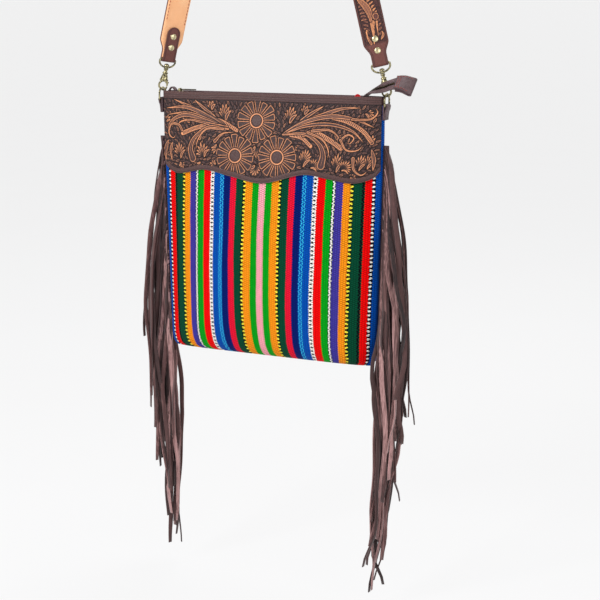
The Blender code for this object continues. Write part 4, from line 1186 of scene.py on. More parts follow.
class Relief:
    """A carved surface as arrays over its points: height, crest, ground and cut; the crest gets
    copper of painted highlight and rubbed dye, the cut painted shade.
    """

    rim = 0.62
    rim_width = 0.50
    ease = 0.4
    groove = 0.50
    groove_place = 0.35
    groove_depth = 0.30
    bare_height = -0.25
    bare_shade = 0.85
    shape_height = 0.15
    crest_height = 0.65

    def __init__(self, x: np.ndarray, y: np.ndarray) -> None:
        """Start from bare ground over points in millimetres."""
        self.x, self.y = x, y
        self.height = np.full(len(x), self.bare_height)
        self.crest = np.zeros(len(x))
        self.ground = np.full(len(x), self.bare_shade)
        self.cut = np.zeros(len(x))

    def raise_shape(self, near: np.ndarray, distance: np.ndarray, inner: np.ndarray,
                    shade: float = 0.55, rub_and_highlight: float = 1.0) -> None:
        """Raise a shape: a rim of painted highlight and rubbed dye round a darker middle, with a
        groove of painted shade outside it.

        Args:
            near: Which points are near the shape.
            distance: Distance outside the shape's edge, for those points.
            inner: Height and rub of what is carved inside the rim, from 0 to 1.
            shade: How dark the middle is, from 0 to 1.
            rub_and_highlight: How much copper the crests get, painted highlight and rubbed dye,
                from 0 to 1.
        """
        inside = smooth(-distance / self.ease)
        rim = np.exp(-((distance + self.rim) / self.rim_width) ** 2)
        crest = np.maximum(rim, inner) * inside
        raised = self.shape_height + self.crest_height * crest
        self.height[near] = np.where(inside > 0, raised, self.height[near])
        self.crest[near] = np.where(inside > 0, crest * rub_and_highlight, self.crest[near])
        self.ground[near] = np.where(inside > 0, shade * (1 - crest) * inside
                                     + self.ground[near] * (1 - inside), self.ground[near])
        ring = np.exp(-((distance - self.groove_place) / self.groove) ** 2)
        self.cut[near] = np.where(inside > 0.5, ring, np.maximum(self.cut[near], ring))
        self.height[near] -= ring * self.groove_depth
        self.crest[near] *= 1 - 0.8 * ring * (inside < 0.5)

    def stroke(self, stroke: Stroke) -> None:
        """Carve one stroke."""
        line = stroke.line()
        reach = stroke.width + 3
        low, high = line.min(0) - reach, line.max(0) + reach
        near = ((self.x > low[0]) & (self.x < high[0]) & (self.y > low[1]) & (self.y < high[1]))
        spots = np.stack([self.x[near], self.y[near]], axis=1)
        if not len(spots):
            return
        start, step = line[:-1], np.diff(line, axis=0)
        gap = spots[:, None, :] - start[None]
        share = np.clip((gap * step[None]).sum(2) / ((step ** 2).sum(1)[None] + 1e-9), 0, 1)
        offset = gap - share[:, :, None] * step[None]
        away = np.sqrt((offset ** 2).sum(2))
        along = (np.arange(len(step))[None] + share) / len(step)
        wide = stroke.width * stroke.taper.share(along)
        distance = away - wide
        pick = distance.argmin(1)
        rows = np.arange(len(spots))
        distance, away = distance[rows, pick], away[rows, pick]
        along, wide = along[rows, pick], wide[rows, pick]
        inner = np.zeros(len(spots))
        length = np.sqrt((step ** 2).sum(1)).sum()
        if stroke.beads:
            inner = 0.75 * smooth(0.5 + np.sin(along * length / stroke.beads * 2 * pi))
        elif stroke.vein and stroke.width > 2.4:
            inner = 0.55 * np.exp(-(away / 0.42) ** 2) * (wide > 1.9)
        # fill: copper over the whole stroke in streaks along it, painted highlight and rubbed dye
        inner = np.maximum(inner, stroke.fill * (1 - 0.35 * np.cos(away * 3.1) ** 2))
        self.raise_shape(near, distance, inner, rub_and_highlight=stroke.rub_and_highlight)

    def daisy(self, centre: tuple[float, float], radius: float, core: float, petals: int,
              turn: float) -> None:
        """Carve a daisy of outlined, square-ended petals round a ringed, pebbled middle."""
        dx, dy = self.x - centre[0], self.y - centre[1]
        away = np.hypot(dx, dy)
        near = away < radius + 3
        away, dx, dy = away[near], dx[near], dy[near]
        angle = np.arctan2(dy, dx) / (2 * pi) * petals + turn
        index = np.floor(angle)
        offset = (angle - index - 0.5) / petals * 2 * pi * np.maximum(away, 1.0)
        length = radius * (1 + 0.05 * np.sin(index * 2.6))
        corner = 2.0
        half = pi * np.minimum(away, length) / petals * 0.84 - 0.1
        beside, beyond = np.abs(offset) - half + corner, away - length + corner
        distance = (np.hypot(np.maximum(beside, 0), np.maximum(beyond, 0))
                    + np.minimum(np.maximum(beside, beyond), 0) - corner)
        vein = np.exp(-(np.abs(offset) / 0.4) ** 2) * smooth((length - 7 - away) / 3)
        self.raise_shape(near, distance, 0.4 * vein, 0.75)
        ring = away - core
        pebbles = 0.5 + 0.5 * np.cos(dx * 2.6) * np.cos(dy * 2.6)
        middle = away < core - 2.0
        self.raise_shape(near, ring, np.where(middle, 0.18 * pebbles, 0.95), 0.35)
        moat = np.exp(-((away - core + 2.4) / 0.55) ** 2)
        self.height[near] -= 0.4 * moat
        self.crest[near] *= 1 - moat
        self.cut[near] = np.maximum(self.cut[near], moat)

    def press(self, distance: np.ndarray, depth: float, width: float) -> None:
        """Press a line into whatever is there and darken it with painted shade."""
        ring = np.exp(-(distance / width) ** 2)
        self.height -= ring * depth
        self.cut = np.maximum(self.cut, ring * 0.8)

    def smooth_band(self, share: np.ndarray, height: float = 0.25) -> None:
        """Leave a band of the leather plain."""
        self.height = self.height * (1 - share) + height * share
        self.crest = self.crest * (1 - share)
        self.ground = self.ground * (1 - share) + 0.12 * share
        self.cut = self.cut * (1 - share)

    def layers(self, order: Place) -> dict[str, Place]:
        """Number attributes of a grid whose corners have a given order in the arrays."""
        return {name: lambda u, v, values=getattr(self, name): values[order(u, v)]
                for name in ("crest", "ground", "cut")}


def spray(root: tuple[float, float], aim: float, spread: float, length: float, count: int,
          width: float) -> list[Stroke]:
    """Short leaves side by side, like a shell or a leaf cluster."""
    made = []
    for index in range(count):
        share = index / max(count - 1, 1) - 0.5
        angle = radians(aim + spread * share)
        reach = length * (1 - 0.35 * abs(share) * 2)
        mid_angle = radians(aim + spread * share * 0.6)
        middle = (root[0] + reach * 0.5 * cos(mid_angle), root[1] + reach * 0.5 * sin(mid_angle))
        tip = (root[0] + reach * cos(angle), root[1] + reach * sin(angle))
        made.append(Stroke((root, middle, tip), width))
    return made


@dataclass
class YokeTooling:
    """The floral carving of the front yoke, in millimetres across and below the mouth."""

    petals: int = 14
    roots = ((-40.0, 48.0), (23.0, 50.0), (-104.0, 92.0), (96.0, 96.0))

    def filling(self) -> list[Stroke]:
        """Small leaves with little copper on their crests, in rows all over the ground, turned away
        from the roots.
        """
        chance = np.random.default_rng(5)
        made = []
        for row, low in enumerate(np.arange(13.0, 112.0, 5.2)):
            for left in np.arange(-150.0 + 3.0 * (row % 2), 151.0, 6.0):
                spot = np.array([left, low]) + chance.uniform(-0.8, 0.8, 2)
                root = min(self.roots, key=lambda place: np.hypot(*(spot - place)))
                run = spot - np.array(root)
                turn = np.arctan2(run[1], run[0]) + chance.uniform(-0.5, 0.5)
                ahead = np.array([cos(turn), sin(turn)])
                beside = np.array([-ahead[1], ahead[0]]) * chance.uniform(-1.4, 1.4)
                made.append(Stroke((tuple(spot - ahead * 3.6), tuple(spot + beside),
                                    tuple(spot + ahead * 3.8)), chance.uniform(1.3, 1.9),
                                   Taper.LEAF, False, 0.0, chance.uniform(0.2, 0.6)))
        return made

    def clusters(self) -> list[Stroke]:
        """Leaves and combed shells that fill the ground between the long stems."""
        made = []
        for root, aim, spread, length, count, width in (
                ((-57, 36), 262, 70, 25, 6, 2.4), ((-78, 22), 262, 80, 14, 4, 2.2),
                ((-94, 62), 262, 60, 12, 4, 1.8), ((-86, 84), 250, 110, 22, 7, 1.9),
                ((-92, 90), 100, 120, 9, 5, 1.6), ((-124, 88), 262, 80, 24, 7, 1.9),
                ((-124, 92), 60, 110, 10, 5, 1.6), ((-68, 66), 100, 100, 15, 6, 1.7),
                ((-68, 92), 190, 120, 10, 5, 1.6), ((-110, 40), 200, 50, 15, 4, 1.7),
                ((-148, 40), 300, 80, 12, 4, 1.6), ((-12, 66), 90, 90, 17, 6, 2.0),
                ((-11, 90), 90, 140, 15, 8, 2.0), ((-30, 100), 60, 120, 8, 5, 1.6),
                ((34, 36), 275, 70, 24, 6, 2.4), ((54, 24), 275, 80, 14, 4, 2.2),
                ((56, 90), 282, 70, 26, 8, 1.8), ((66, 90), 330, 120, 17, 8, 1.4),
                ((100, 95), 275, 60, 26, 7, 1.9), ((106, 92), 320, 130, 18, 10, 1.3),
                ((46, 96), 40, 120, 9, 5, 1.6), ((128, 92), 285, 60, 24, 6, 1.7),
                ((138, 90), 285, 50, 24, 5, 1.7), ((134, 20), 10, 90, 14, 5, 1.6),
                ((96, 48), 30, 60, 14, 4, 1.6), ((118, 100), 10, 120, 9, 5, 1.5),
                ((144, 58), 262, 60, 14, 4, 1.5), ((40, 62), 70, 90, 13, 5, 1.6)):
            made += spray(root, aim, spread, length, count, width)
        return made

    def stems(self) -> list[Stroke]:
        """Long stems and curls that run out to both ends, each over the ones before it."""
        club, horn, even = Taper.CLUB, Taper.HORN, Taper.EVEN
        return [
            Stroke(((-40, 47), (-58, 38), (-72, 34)), 2.6, even, False, 2.2),
            Stroke(((-80, 42), (-100, 46), (-121, 54)), 3.0, even, False, 2.0),
            Stroke(((-70, 32), (-90, 20), (-105, 9)), 2.0),
            Stroke(((-55, 43), (-70, 36), (-102, 22), (-138, 9)), 3.0),
            Stroke(((-56, 43), (-83, 31), (-115, 20), (-150, 22)), 2.8),
            Stroke(((-56, 43), (-85, 34), (-115, 27), (-150, 31)), 2.0, Taper.LEAF, False),
            Stroke(((-56, 43), (-89, 35), (-115, 30), (-134, 35), (-144, 47), (-143, 62)), 2.6),
            Stroke(((-54, 44), (-82, 40), (-109, 36), (-126, 40), (-122, 47)), 2.2, horn, False),
            Stroke(((-122, 50), (-128, 43), (-140, 43), (-144, 55), (-137, 61), (-131, 55)), 1.9,
                   horn, False),
            Stroke(((-52, 46), (-80, 44), (-101, 58), (-108, 73), (-104, 86)), 5.2, club),
            Stroke(((-60, 46), (-84, 47), (-97, 62), (-99, 76)), 1.7, horn, False),
            Stroke(((-46, 50), (-60, 52), (-71, 62)), 2.4, club, False),
            Stroke(((-145, 64), (-151, 78), (-150, 92)), 3.2),
            Stroke(((-138, 66), (-141, 78), (-139, 92)), 2.2),
            Stroke(((37, 50), (52, 53), (65, 63)), 2.6, even, False, 2.2),
            Stroke(((55, 49), (69, 46), (89, 54), (105, 64)), 3.2, even, False, 2.0),
            Stroke(((90, 26), (112, 31), (132, 42), (143, 56)), 2.8, even, False, 2.2),
            Stroke(((44, 36), (62, 23), (80, 12)), 2.2),
            Stroke(((23, 50), (47, 36), (78, 24), (104, 15), (130, 13)), 2.8),
            Stroke(((23, 50), (56, 33), (90, 25), (122, 28), (148, 38)), 2.8),
            Stroke(((118, 28), (140, 27), (149, 19), (146, 12)), 1.7, horn, False),
            Stroke(((27, 49), (57, 38), (90, 35), (118, 42), (134, 57)), 2.4),
            Stroke(((66, 44), (88, 42), (101, 50), (97, 55)), 1.9, horn, False),
            Stroke(((109, 63), (106, 53), (114, 47), (121, 51), (116, 58), (110, 56)), 1.7,
                   horn, False),
            Stroke(((104, 54), (112, 66), (126, 66), (134, 57)), 1.6, horn, False),
            Stroke(((26, 50), (55, 48), (75, 59), (82, 73), (80, 87)), 5.2, club),
            Stroke(((60, 46), (80, 54), (89, 68), (88, 80)), 1.7, horn, False),
            Stroke(((121, 76), (122, 90), (131, 97), (139, 92)), 2.0, horn, False),
            Stroke(((143, 64), (146, 78), (145, 92)), 2.6),
        ]

    def carve(self, x: np.ndarray, y: np.ndarray, edge: np.ndarray) -> Relief:
        """Carve the yoke.

        Args:
            x: Millimetres across.
            y: Millimetres below the mouth.
            edge: Millimetres from each point down to the yoke's edge.

        Returns:
            The relief.
        """
        relief = Relief(x, y)
        for stroke in self.filling() + self.clusters() + self.stems():
            relief.stroke(stroke)
        for centre, turn in (((-12.5, 34.0), 0.0), ((19.5, 79.0), 0.6), ((-40.5, 79.5), 0.2)):
            relief.daisy(centre, 27.0, 9.8, self.petals, turn)
        relief.smooth_band(smooth((9.0 - y) / 1.2))
        relief.smooth_band(smooth((6.8 - edge) / 1.0))
        relief.press(np.abs(y - 9.4), 0.3, 0.5)
        # faint creases across the top band, darkened with painted shade
        relief.press(np.abs(y - 3.4 - 0.4 * np.sin(x / 23)), 0.14, 0.35)
        relief.press(np.abs(y - 6.2 - 0.3 * np.sin(x / 31)), 0.10, 0.35)
        relief.press(np.abs(edge - 7.2), 0.3, 0.5)
        relief.press(np.abs(edge - 1.6), 0.22, 0.5)
        return relief


@dataclass
class Yokes:
    """The tooled front yoke and the plain back yoke."""

    thickness: float = 0.0020
    drop: float = 0.113
    rim: float = 0.0008
    seat: float = 0.0006
    back_drop: float = 0.098
    reach: float = 0.985
    columns: int = 500
    rows: int = 186
    relief_height: float = 0.00080
    sewn: float = 0.97
    sewing_margin: float = 0.0036
    sewing_points: int = 420

    def edge(self, across: np.ndarray) -> np.ndarray:
        """Drop of the scalloped lower edge."""
        return read_rows(YOKE_ROWS, across)[:, 1] * self.drop

    def spots(self, u: np.ndarray, v: np.ndarray) -> tuple[np.ndarray, np.ndarray]:
        """Share across and drop for each corner of the front yoke."""
        across = u * self.reach
        return across, self.edge(across) * (1 - v) / 2

    def front(self, finishes: Finishes) -> None:
        """Carve the front yoke and sew its lower edge."""
        flat = np.meshgrid(np.linspace(-1, 1, self.columns + 1),
                           np.linspace(-1, 1, self.rows + 1))
        u, v = flat[0].ravel(), flat[1].ravel()
        across, drop = self.spots(u, v)
        relief = YokeTooling().carve(across * BAG.width / 2 * 1000, drop * 1000,
                                     (self.edge(across) - drop) * 1000)

        def order(some_u: np.ndarray, some_v: np.ndarray) -> np.ndarray:
            return nearest(some_v, self.rows) * (self.columns + 1) + nearest(some_u, self.columns)

        def points(some_u: np.ndarray, some_v: np.ndarray) -> np.ndarray:
            share, below = self.spots(some_u, some_v)
            height = relief.height[order(some_u, some_v)] * self.relief_height
            return self.topped(BAG.lifted(share, below, self.seat + self.thickness + height), below)

        work = bmesh.new()
        grid(work, self.columns, self.rows, points, relief.layers(order))
        rim = [edge for edge in work.edges if edge.is_boundary]
        skirt = bmesh.ops.extrude_edge_only(work, edges=rim)["geom"]
        for vert in skirt:
            if isinstance(vert, bmesh.types.BMVert):
                vert.co.y += self.thickness
        obj = new_piece("tooled_yoke", work, finishes.tooled,
                        replaces=["front_yoke"], angle=70.0, turn_out=False)
        turn_faces(obj, (0, -1, 0))
        self.sew("yoke_stitches", self.edge, -1, 0.00012, finishes)

    def topped(self, spots: np.ndarray, below: np.ndarray) -> np.ndarray:
        """Bring the points of a yoke's top edge to one height, just over the mouth."""
        spots[below < 1e-6, 2] = self.rim - STRAP_DROP
        return spots

    def sew(self, name: str, edge: Callable[[np.ndarray], np.ndarray], side: int, lift: float,
            finishes: Finishes) -> None:
        """Sew along a yoke's lower edge.

        Args:
            name: Name of the stitches.
            edge: Drop of the edge at shares across.
            side: -1 for the front and 1 for the back.
            lift: Height of the stitches over the leather.
            finishes: The materials.
        """
        share = np.linspace(-self.sewn, self.sewn, self.sewing_points) * self.reach
        below = edge(share) - self.sewing_margin
        lifts = np.full(len(share), self.seat + self.thickness + lift)
        work = bmesh.new()
        YOKE_SEWING.row(work, BAG.lifted(share, below, lifts, side),
                        BAG.normals(share, below, side))
        new_piece(name, work, finishes.dark_thread)

    def back(self, finishes: Finishes) -> None:
        """Make the plain back yoke and sew its lower edge."""
        def points(u: np.ndarray, v: np.ndarray) -> np.ndarray:
            share = u * self.reach
            below = self.back_drop * (1 - v) / 2
            soft = 0.0002 * np.sin(share * 11 + below * 60)
            return self.topped(BAG.lifted(share, below, self.seat + self.thickness + soft, 1),
                               below)

        work = bmesh.new()
        grid(work, 120, 40, points)
        obj = new_piece("plain_back_yoke", work, finishes.dark,
                        replaces=["back_yoke"], angle=180.0)
        turn_faces(obj, (0, 1, 0))
        thicken(obj, self.thickness)
        self.sew("back_yoke_stitches", lambda share: np.full(len(share), self.back_drop), 1, 0.0,
                 finishes)

    def build(self, finishes: Finishes) -> None:
        """Make both yokes."""
        self.front(finishes)
        self.back(finishes)


# Fringe

@dataclass
class Fringe:
    """Long strips of split leather that leave a header on each side seam and hang."""

    top: float = 0.060
    bottom: float = 0.316
    strips: int = 56
    length: float = 0.350
    header: float = 0.0022
    width: float = 0.0058
    thickness: float = 0.0012
    first_lane: float = 0.0035
    spread: float = 0.036
    segments: int = 30
    header_rows: int = 60
    header_tone: float = 0.3
    side_lean: float = 0.026
    depth_spread: float = 0.0115
    short_share: float = 0.12
    tip_curl: float = 0.014
    cup: float = 0.0006
    flare = {-1: 0.21, 1: 0.18}
    seeds = {-1: 11, 1: 23}

    def strip(self, work: bmesh.types.BMesh, side: int, index: int,
              chance: np.random.Generator) -> None:
        """Hang one strip.

        Args:
            work: The mesh that gets the strip.
            side: -1 for the left and 1 for the right.
            index: Its place, counted from the top.
            chance: The seeded source of its irregularity.
        """
        root_drop = self.top + (self.bottom - self.top) * (index + 0.5) / self.strips
        rank = 1 - (index + 0.5) / self.strips
        lane = self.first_lane + self.spread * (0.52 * rank + 0.48 * chance.random())
        inward = chance.uniform(0.5, 1.0) - 0.6 * lane / (self.first_lane + self.spread)
        depth = (chance.uniform(-self.depth_spread, self.depth_spread)
                 - side * self.side_lean * inward)
        length = self.length * chance.uniform(0.90, 1.05)
        if chance.random() < self.short_share:
            length *= chance.uniform(0.62, 0.85)
        width = self.width * chance.uniform(0.75, 1.2)
        phases = chance.uniform(0, 2 * pi, 4)
        twist_rate, twist_start = chance.uniform(-1.6, 1.6), chance.uniform(0.7, 2.3)
        curl = chance.uniform(-self.tip_curl, self.tip_curl)
        # tone also sets the strip's painted shade and painted highlight
        tone = chance.uniform(0.0, 1.0)
        root = float(BAG.section(np.array([root_drop]))[0][0]) + FIT_GAP + self.header * 0.6

        def middle(fall: np.ndarray) -> tuple[np.ndarray, np.ndarray, np.ndarray]:
            out = lane * (0.16 * (1 - np.exp(-length * fall / 0.010))
                          + 0.84 * np.clip(length * fall / self.flare[side], 0, 1) ** 0.9)
            drop = root_drop + length * fall
            gather = 1 - 0.45 * smooth((drop - self.bottom) / self.length)
            free = smooth(fall * 3.0)
            side_wave = ((0.0022 + 0.0030 * fall ** 2) * np.sin(fall * 7 + phases[0])
                         + 0.0012 * np.sin(fall * 17 + phases[1])) * free
            deep_wave = (depth + 0.0026 * np.sin(fall * 6 + phases[2])
                         + 0.0012 * np.sin(fall * 15 + phases[3])) * free
            end = smooth((fall - 0.86) / 0.14) * curl
            x = root + np.maximum(out * gather + side_wave, 0.0014) + end * 0.5
            return x, deep_wave + end, drop

        def points(u: np.ndarray, v: np.ndarray) -> np.ndarray:
            fall = (v + 1) / 2
            x, y, drop = middle(fall)
            ahead = middle(np.minimum(fall + 0.01, 1.01))
            run = unit(np.stack([ahead[0] - x, ahead[1] - y, -(ahead[2] - drop)], axis=1))
            turn = (twist_start + twist_rate * fall) * smooth(fall * 7.0)
            wide = square_to(np.stack([np.sin(turn), np.cos(turn), np.zeros_like(turn)], axis=1),
                             run)
            thick = np.cross(run, wide)
            cup = self.cup * (u ** 2 - 0.4)
            taper = 1 - 0.25 * smooth((fall - 0.9) / 0.1)
            spot = (np.stack([x, y, -drop - STRAP_DROP], axis=1)
                    + wide * (u * width / 2 * taper)[:, None] + thick * cup[:, None])
            spot[:, 0] *= side
            return spot

        grid(work, 2, self.segments, points,
             {"tone": lambda u, v: np.full(len(u), tone)})

    def build(self, finishes: Finishes) -> None:
        """Make both fringes with their headers."""
        for name, side in SIDES.items():
            chance = np.random.default_rng(self.seeds[side])
            work = bmesh.new()
            for index in range(self.strips):
                self.strip(work, side, index, chance)

            def header(u: np.ndarray, v: np.ndarray, side: int = side) -> np.ndarray:
                drop = self.top + (self.bottom - self.top) * (v + 1) / 2
                half = BAG.section(drop)[0] + FIT_GAP + 0.0038 * (u + 1)
                ripple = 0.0005 * np.sin(drop * 190) * (u + 1)
                return np.stack([side * half, ripple, -drop - STRAP_DROP], axis=1)

            grid(work, 2, self.header_rows, header,
                 {"tone": lambda u, v: np.full(len(u), self.header_tone)})
            obj = new_piece("fringe_strips_" + name, work, finishes.split,
                            replaces=["fringe_" + name], angle=60.0, turn_out=False)
            thicken(obj, self.thickness, 0.0)


# Zip

TAIL_ROWS = np.array([
    (-0.82, -0.16, 0.00, 0.00, 0.00),
    (-0.69, 0.00, 0.00, 0.00, 0.00),
    (-0.56, 0.19, 0.03, 0.02, 0.03),
    (-0.42, 0.36, 0.36, 0.20, 0.16),
    (-0.26, 0.51, 0.78, 0.44, 0.38),
    (-0.08, 0.62, 0.97, 0.66, 0.62),
    (0.15, 0.76, 1.02, 0.86, 0.72),
    (0.45, 0.97, 1.00, 1.00, 0.66),
    (0.75, 0.97, 0.96, 1.00, 0.80),
    (1.00, 0.80, 0.92, 1.00, 1.00),
])


@dataclass
class ZipTop:
    """The zip in the mouth and on its tail: facings, tape, teeth, and the leather at both ends."""

    recess: float = 0.003
    facing: float = 0.0015
    tape: float = 0.0007
    tape_width: float = 0.011
    chain_width: float = 0.0042
    chain_height: float = 0.0019
    chain_margin: float = 0.0015
    tooth_pitch: float = 0.0015
    tail: float = 0.040
    tail_rise: float = 0.019
    tail_swing: float = 0.016
    tail_width: float = 0.023
    tail_twist: float = 50.0
    slope_step: float = 0.05
    mouth_gap: float = 0.0009
    edge_round: float = 0.00035
    sewing_margin: float = 0.0011
    wall: float = 0.0022
    end_wall: float = 0.0035
    cap: float = 0.0200
    cap_leather: float = 0.0014
    cap_overlap: float = 0.0006
    cap_sewing_margin: float = 0.002
    tab_length: float = 0.0120
    tab_arch: float = 0.0062
    tab_inset: float = 0.0085
    tab_width: float = 0.0110
    left: float = -0.1410
    right: float = 0.1955
    lining_place: float = 0.118
    lining_half: float = 0.0045
    lining_rise: float = 0.003
    lining_cloth: float = 0.0009

    def mouth_half(self, x: np.ndarray, drop: float) -> np.ndarray:
        """Half the clear depth of the mouth."""
        drops = np.full(len(x), drop)
        across = np.minimum(np.abs(x) / (BAG.section(drops)[0] - self.end_wall), 1.0)
        return BAG.half_depth(across, drops, self.wall)

    def panel(self, x: np.ndarray) -> tuple[np.ndarray, ...]:
        """Centre, direction across, normal and half width of the zip at places along it."""
        along = (x - BAG.width / 2) / self.tail
        start = TAIL_ROWS[0, 0]
        row = read_rows(TAIL_ROWS, np.maximum(along, start))
        ahead = read_rows(TAIL_ROWS, np.maximum(along, start) + self.slope_step)
        behind = read_rows(TAIL_ROWS, np.maximum(along, start) - self.slope_step)
        leave = BAG.width / 2 + TAIL_ROWS[2, 0] * self.tail
        narrow = self.mouth_half(np.minimum(x, leave), self.recess) - self.mouth_gap
        zero = np.zeros(len(x))
        centre = np.stack([x, -row[:, 2] * self.tail_swing, row[:, 1] * self.tail_rise], axis=1)
        half = narrow + (self.tail_width / 2 - narrow) * row[:, 3]
        twist = np.radians(row[:, 4] * self.tail_twist)
        run = unit(np.stack([zero + 2 * self.slope_step * self.tail,
                             -(ahead[:, 2] - behind[:, 2]) * self.tail_swing,
                             (ahead[:, 1] - behind[:, 1]) * self.tail_rise], axis=1))
        across = square_to(np.stack([zero, np.cos(twist), np.sin(twist)], axis=1), run)
        normal = np.cross(run, across)
        flat = along < start
        centre[flat] = np.stack([x, zero, zero - self.recess], axis=1)[flat]
        across[flat], normal[flat] = (0, 1, 0), (0, 0, 1)
        half[flat] = narrow[flat]
        centre[:, 2] -= STRAP_DROP
        return centre, across, normal, half

    def strip(self, work: bmesh.types.BMesh, start: float, end: float, rows: int, columns: int,
              edges: Callable[[np.ndarray], tuple[np.ndarray, np.ndarray]], lift: float) -> None:
        """Lay a strip on the zip's panel.

        Args:
            work: The mesh that gets the strip.
            start: Where it starts along the bag.
            end: Where it ends.
            rows: Faces along.
            columns: Faces across.
            edges: Gives its two edges for the panel's half widths.
            lift: Its height over the panel.
        """
        def place(u: np.ndarray, v: np.ndarray) -> np.ndarray:
            x = start + (end - start) * (v + 1) / 2
            centre, across, normal, half = self.panel(x)
            near, far = edges(half)
            offset = near + (far - near) * (u + 1) / 2
            rounded = lift - self.edge_round * smooth((np.abs(u) - 0.7) / 0.3)
            return centre + across * offset[:, None] + normal * rounded[:, None]

        grid(work, columns, rows, place)

    def sheet(self, name: str, work: bmesh.types.BMesh, thickness: float,
              material: bpy.types.Material, node: str) -> None:
        """Finish a strip whose upper side faces up, and give it its wall."""
        obj = new_piece(name, work, material, replaces=[node], angle=180.0,
                        turn_out=False)
        turn_faces(obj, (0, 0, 1))
        thicken(obj, thickness)

    def facings(self, finishes: Finishes) -> None:
        """The two leather strips beside the teeth, sewn along them."""
        slot = self.chain_width / 2 + FIT_GAP
        thread = bmesh.new()
        for name, side in (("front", -1), ("back", 1)):
            work = bmesh.new()
            self.strip(work, self.left, self.right, 300, 6,
                       lambda half, side=side: (side * slot + half * 0,
                                                side * np.maximum(half, slot + 0.0006)),
                       self.facing / 2)
            self.sheet("zip_leather_" + name, work, self.facing, finishes.dark,
                       "zip_facing_" + name)
            x = np.linspace(self.left + 0.006, self.right - self.cap - 0.001, 500)
            centre, across, normal, _ = self.panel(x)
            line = (centre + across * side * (slot + self.sewing_margin)
                    + normal * self.facing / 2)
            ZIP_SEWING.row(thread, line, normal)
        new_piece("zip_leather_stitches", thread, finishes.dark_thread)

    def chain(self, finishes: Finishes) -> None:
        """The tape and the teeth, which mesh from both sides."""
        top = -self.facing / 2 - FIT_GAP
        work = bmesh.new()
        self.strip(work, self.left, self.right, 240, 4,
                   lambda half: (-np.minimum(self.tape_width / 2, half),
                                 np.minimum(self.tape_width / 2, half)), top)
        self.sheet("zip_tape_cloth", work, self.tape, finishes.tape, "zip_tape")
        work = bmesh.new()
        count = int((self.right - self.left - 2 * self.chain_margin) / self.tooth_pitch)
        x = self.left + self.chain_margin + (np.arange(count) + 0.5) * self.tooth_pitch
        centre, across, normal, _ = self.panel(x)
        for index in range(count):
            side = 1 if index % 2 else -1
            run = np.cross(across[index], normal[index])
            middle = (centre[index] + across[index] * side * self.chain_width * 0.17
                      + normal[index] * (top + FIT_GAP + self.chain_height / 2))
            size = (self.tooth_pitch * 0.72, self.chain_width * 0.64, self.chain_height)
            bevelled_block(work, set_axes(run, across[index], normal[index], Vector(middle)),
                           size, 0.00022, 1)
        new_piece("zip_chain_teeth", work, finishes.shade_darkened_brass,
                  replaces=["zip_teeth"])

    def tail_cap(self, finishes: Finishes) -> None:
        """The leather patch folded over the tail's end, with its two rows of stitches."""
        over = -self.facing / 2 + self.chain_height + FIT_GAP + self.cap_leather
        under = -self.facing / 2 - 2 * FIT_GAP - self.tape - self.cap_leather
        half = self.tail_width / 2 + self.cap_overlap
        ends = np.linspace(self.right - self.cap, self.right, 17)
        centre, across, normal, _ = self.panel(ends)
        tip, side, up = centre[-1], across[-1], normal[-1]
        run = np.cross(side, up)
        angles = np.radians(np.linspace(75, -75, 11))[:, None]
        middle, reach = (over + under) / 2, (over - under) / 2
        fold = (tip + run * FIT_GAP + up * middle
                + (up * np.sin(angles) + run * np.cos(angles)) * reach)
        line = np.concatenate([centre + normal * over, fold, (centre + normal * under)[::-1]])
        wide = np.concatenate([across, np.repeat(side[None], len(fold), 0), across[::-1]])
        rows = len(line) - 1

        def place(u: np.ndarray, v: np.ndarray) -> np.ndarray:
            index = nearest(v, rows)
            return line[index] + wide[index] * (u * half)[:, None]

        obj = lay_sheet("zip_tail_patch", (12, rows), place, finishes.dark,
                        "zip_tail_cap")
        turn_faces(obj, normal[0], [obj.data.polygons[6]])
        thicken(obj, self.cap_leather)
        work = bmesh.new()
        top = centre + normal * over
        for edge in (-1, 1):
            PATCH_SEWING.row(work, top + across * edge * (half - self.cap_sewing_margin), normal)
        share = np.linspace(-0.8, 0.8, 30)[:, None]
        for index in (2, 4):
            PATCH_SEWING.row(work, top[index] + across[index] * share * half,
                             np.repeat(normal[index][None], len(share), 0))
        new_piece("zip_tail_stitches", work, finishes.red_thread)

    def end_tab(self, finishes: Finishes) -> None:
        """The arched leather fold over the zip's left end."""
        top = -self.recess - self.facing / 2 + self.chain_height + FIT_GAP

        def place(u: np.ndarray, v: np.ndarray) -> np.ndarray:
            share = (v + 1) / 2
            x = self.left - self.tab_inset + self.tab_length * share
            height = top + self.tab_arch * np.sin(pi * np.clip(share, 0, 1)) ** 0.7
            half = np.minimum(self.mouth_half(x, 0.0) - 2 * FIT_GAP, self.tab_width / 2)
            return np.stack([x, u * half, height + self.cap_leather - STRAP_DROP], axis=1)

        work = bmesh.new()
        grid(work, 6, 24, place)
        self.sheet("zip_end_fold", work, self.cap_leather, finishes.dark,
                   "zip_end_tab")

    def lining(self, finishes: Finishes) -> None:
        """The folded bit of red lining beside the tail."""
        back = float(self.mouth_half(np.array([self.lining_place]), 0.0)[0]) - self.mouth_gap
        foot = self.facing / 2 + FIT_GAP - self.recess

        def place(u: np.ndarray, v: np.ndarray) -> np.ndarray:
            share = (u + 1) / 2
            crown = 0.1 + 0.9 * np.sin(pi * share) ** 0.6
            height = foot + (self.lining_rise - foot) * crown * (v + 1) / 2
            fold = 0.00025 * np.sin(share * 19) * (v + 1) / 2
            return np.stack([self.lining_place + self.lining_half * u,
                             back - self.lining_cloth / 2 + fold, height - STRAP_DROP], axis=1)

        obj = lay_sheet("red_lining_fold", (20, 8), place, finishes.red_cloth,
                        "lining_corner")
        thicken(obj, self.lining_cloth, 0.0)

    def build(self, finishes: Finishes) -> None:
        """Make the whole zip."""
        self.facings(finishes)
        self.chain(finishes)
        self.tail_cap(finishes)
        self.end_tab(finishes)
        self.lining(finishes)


# Hardware

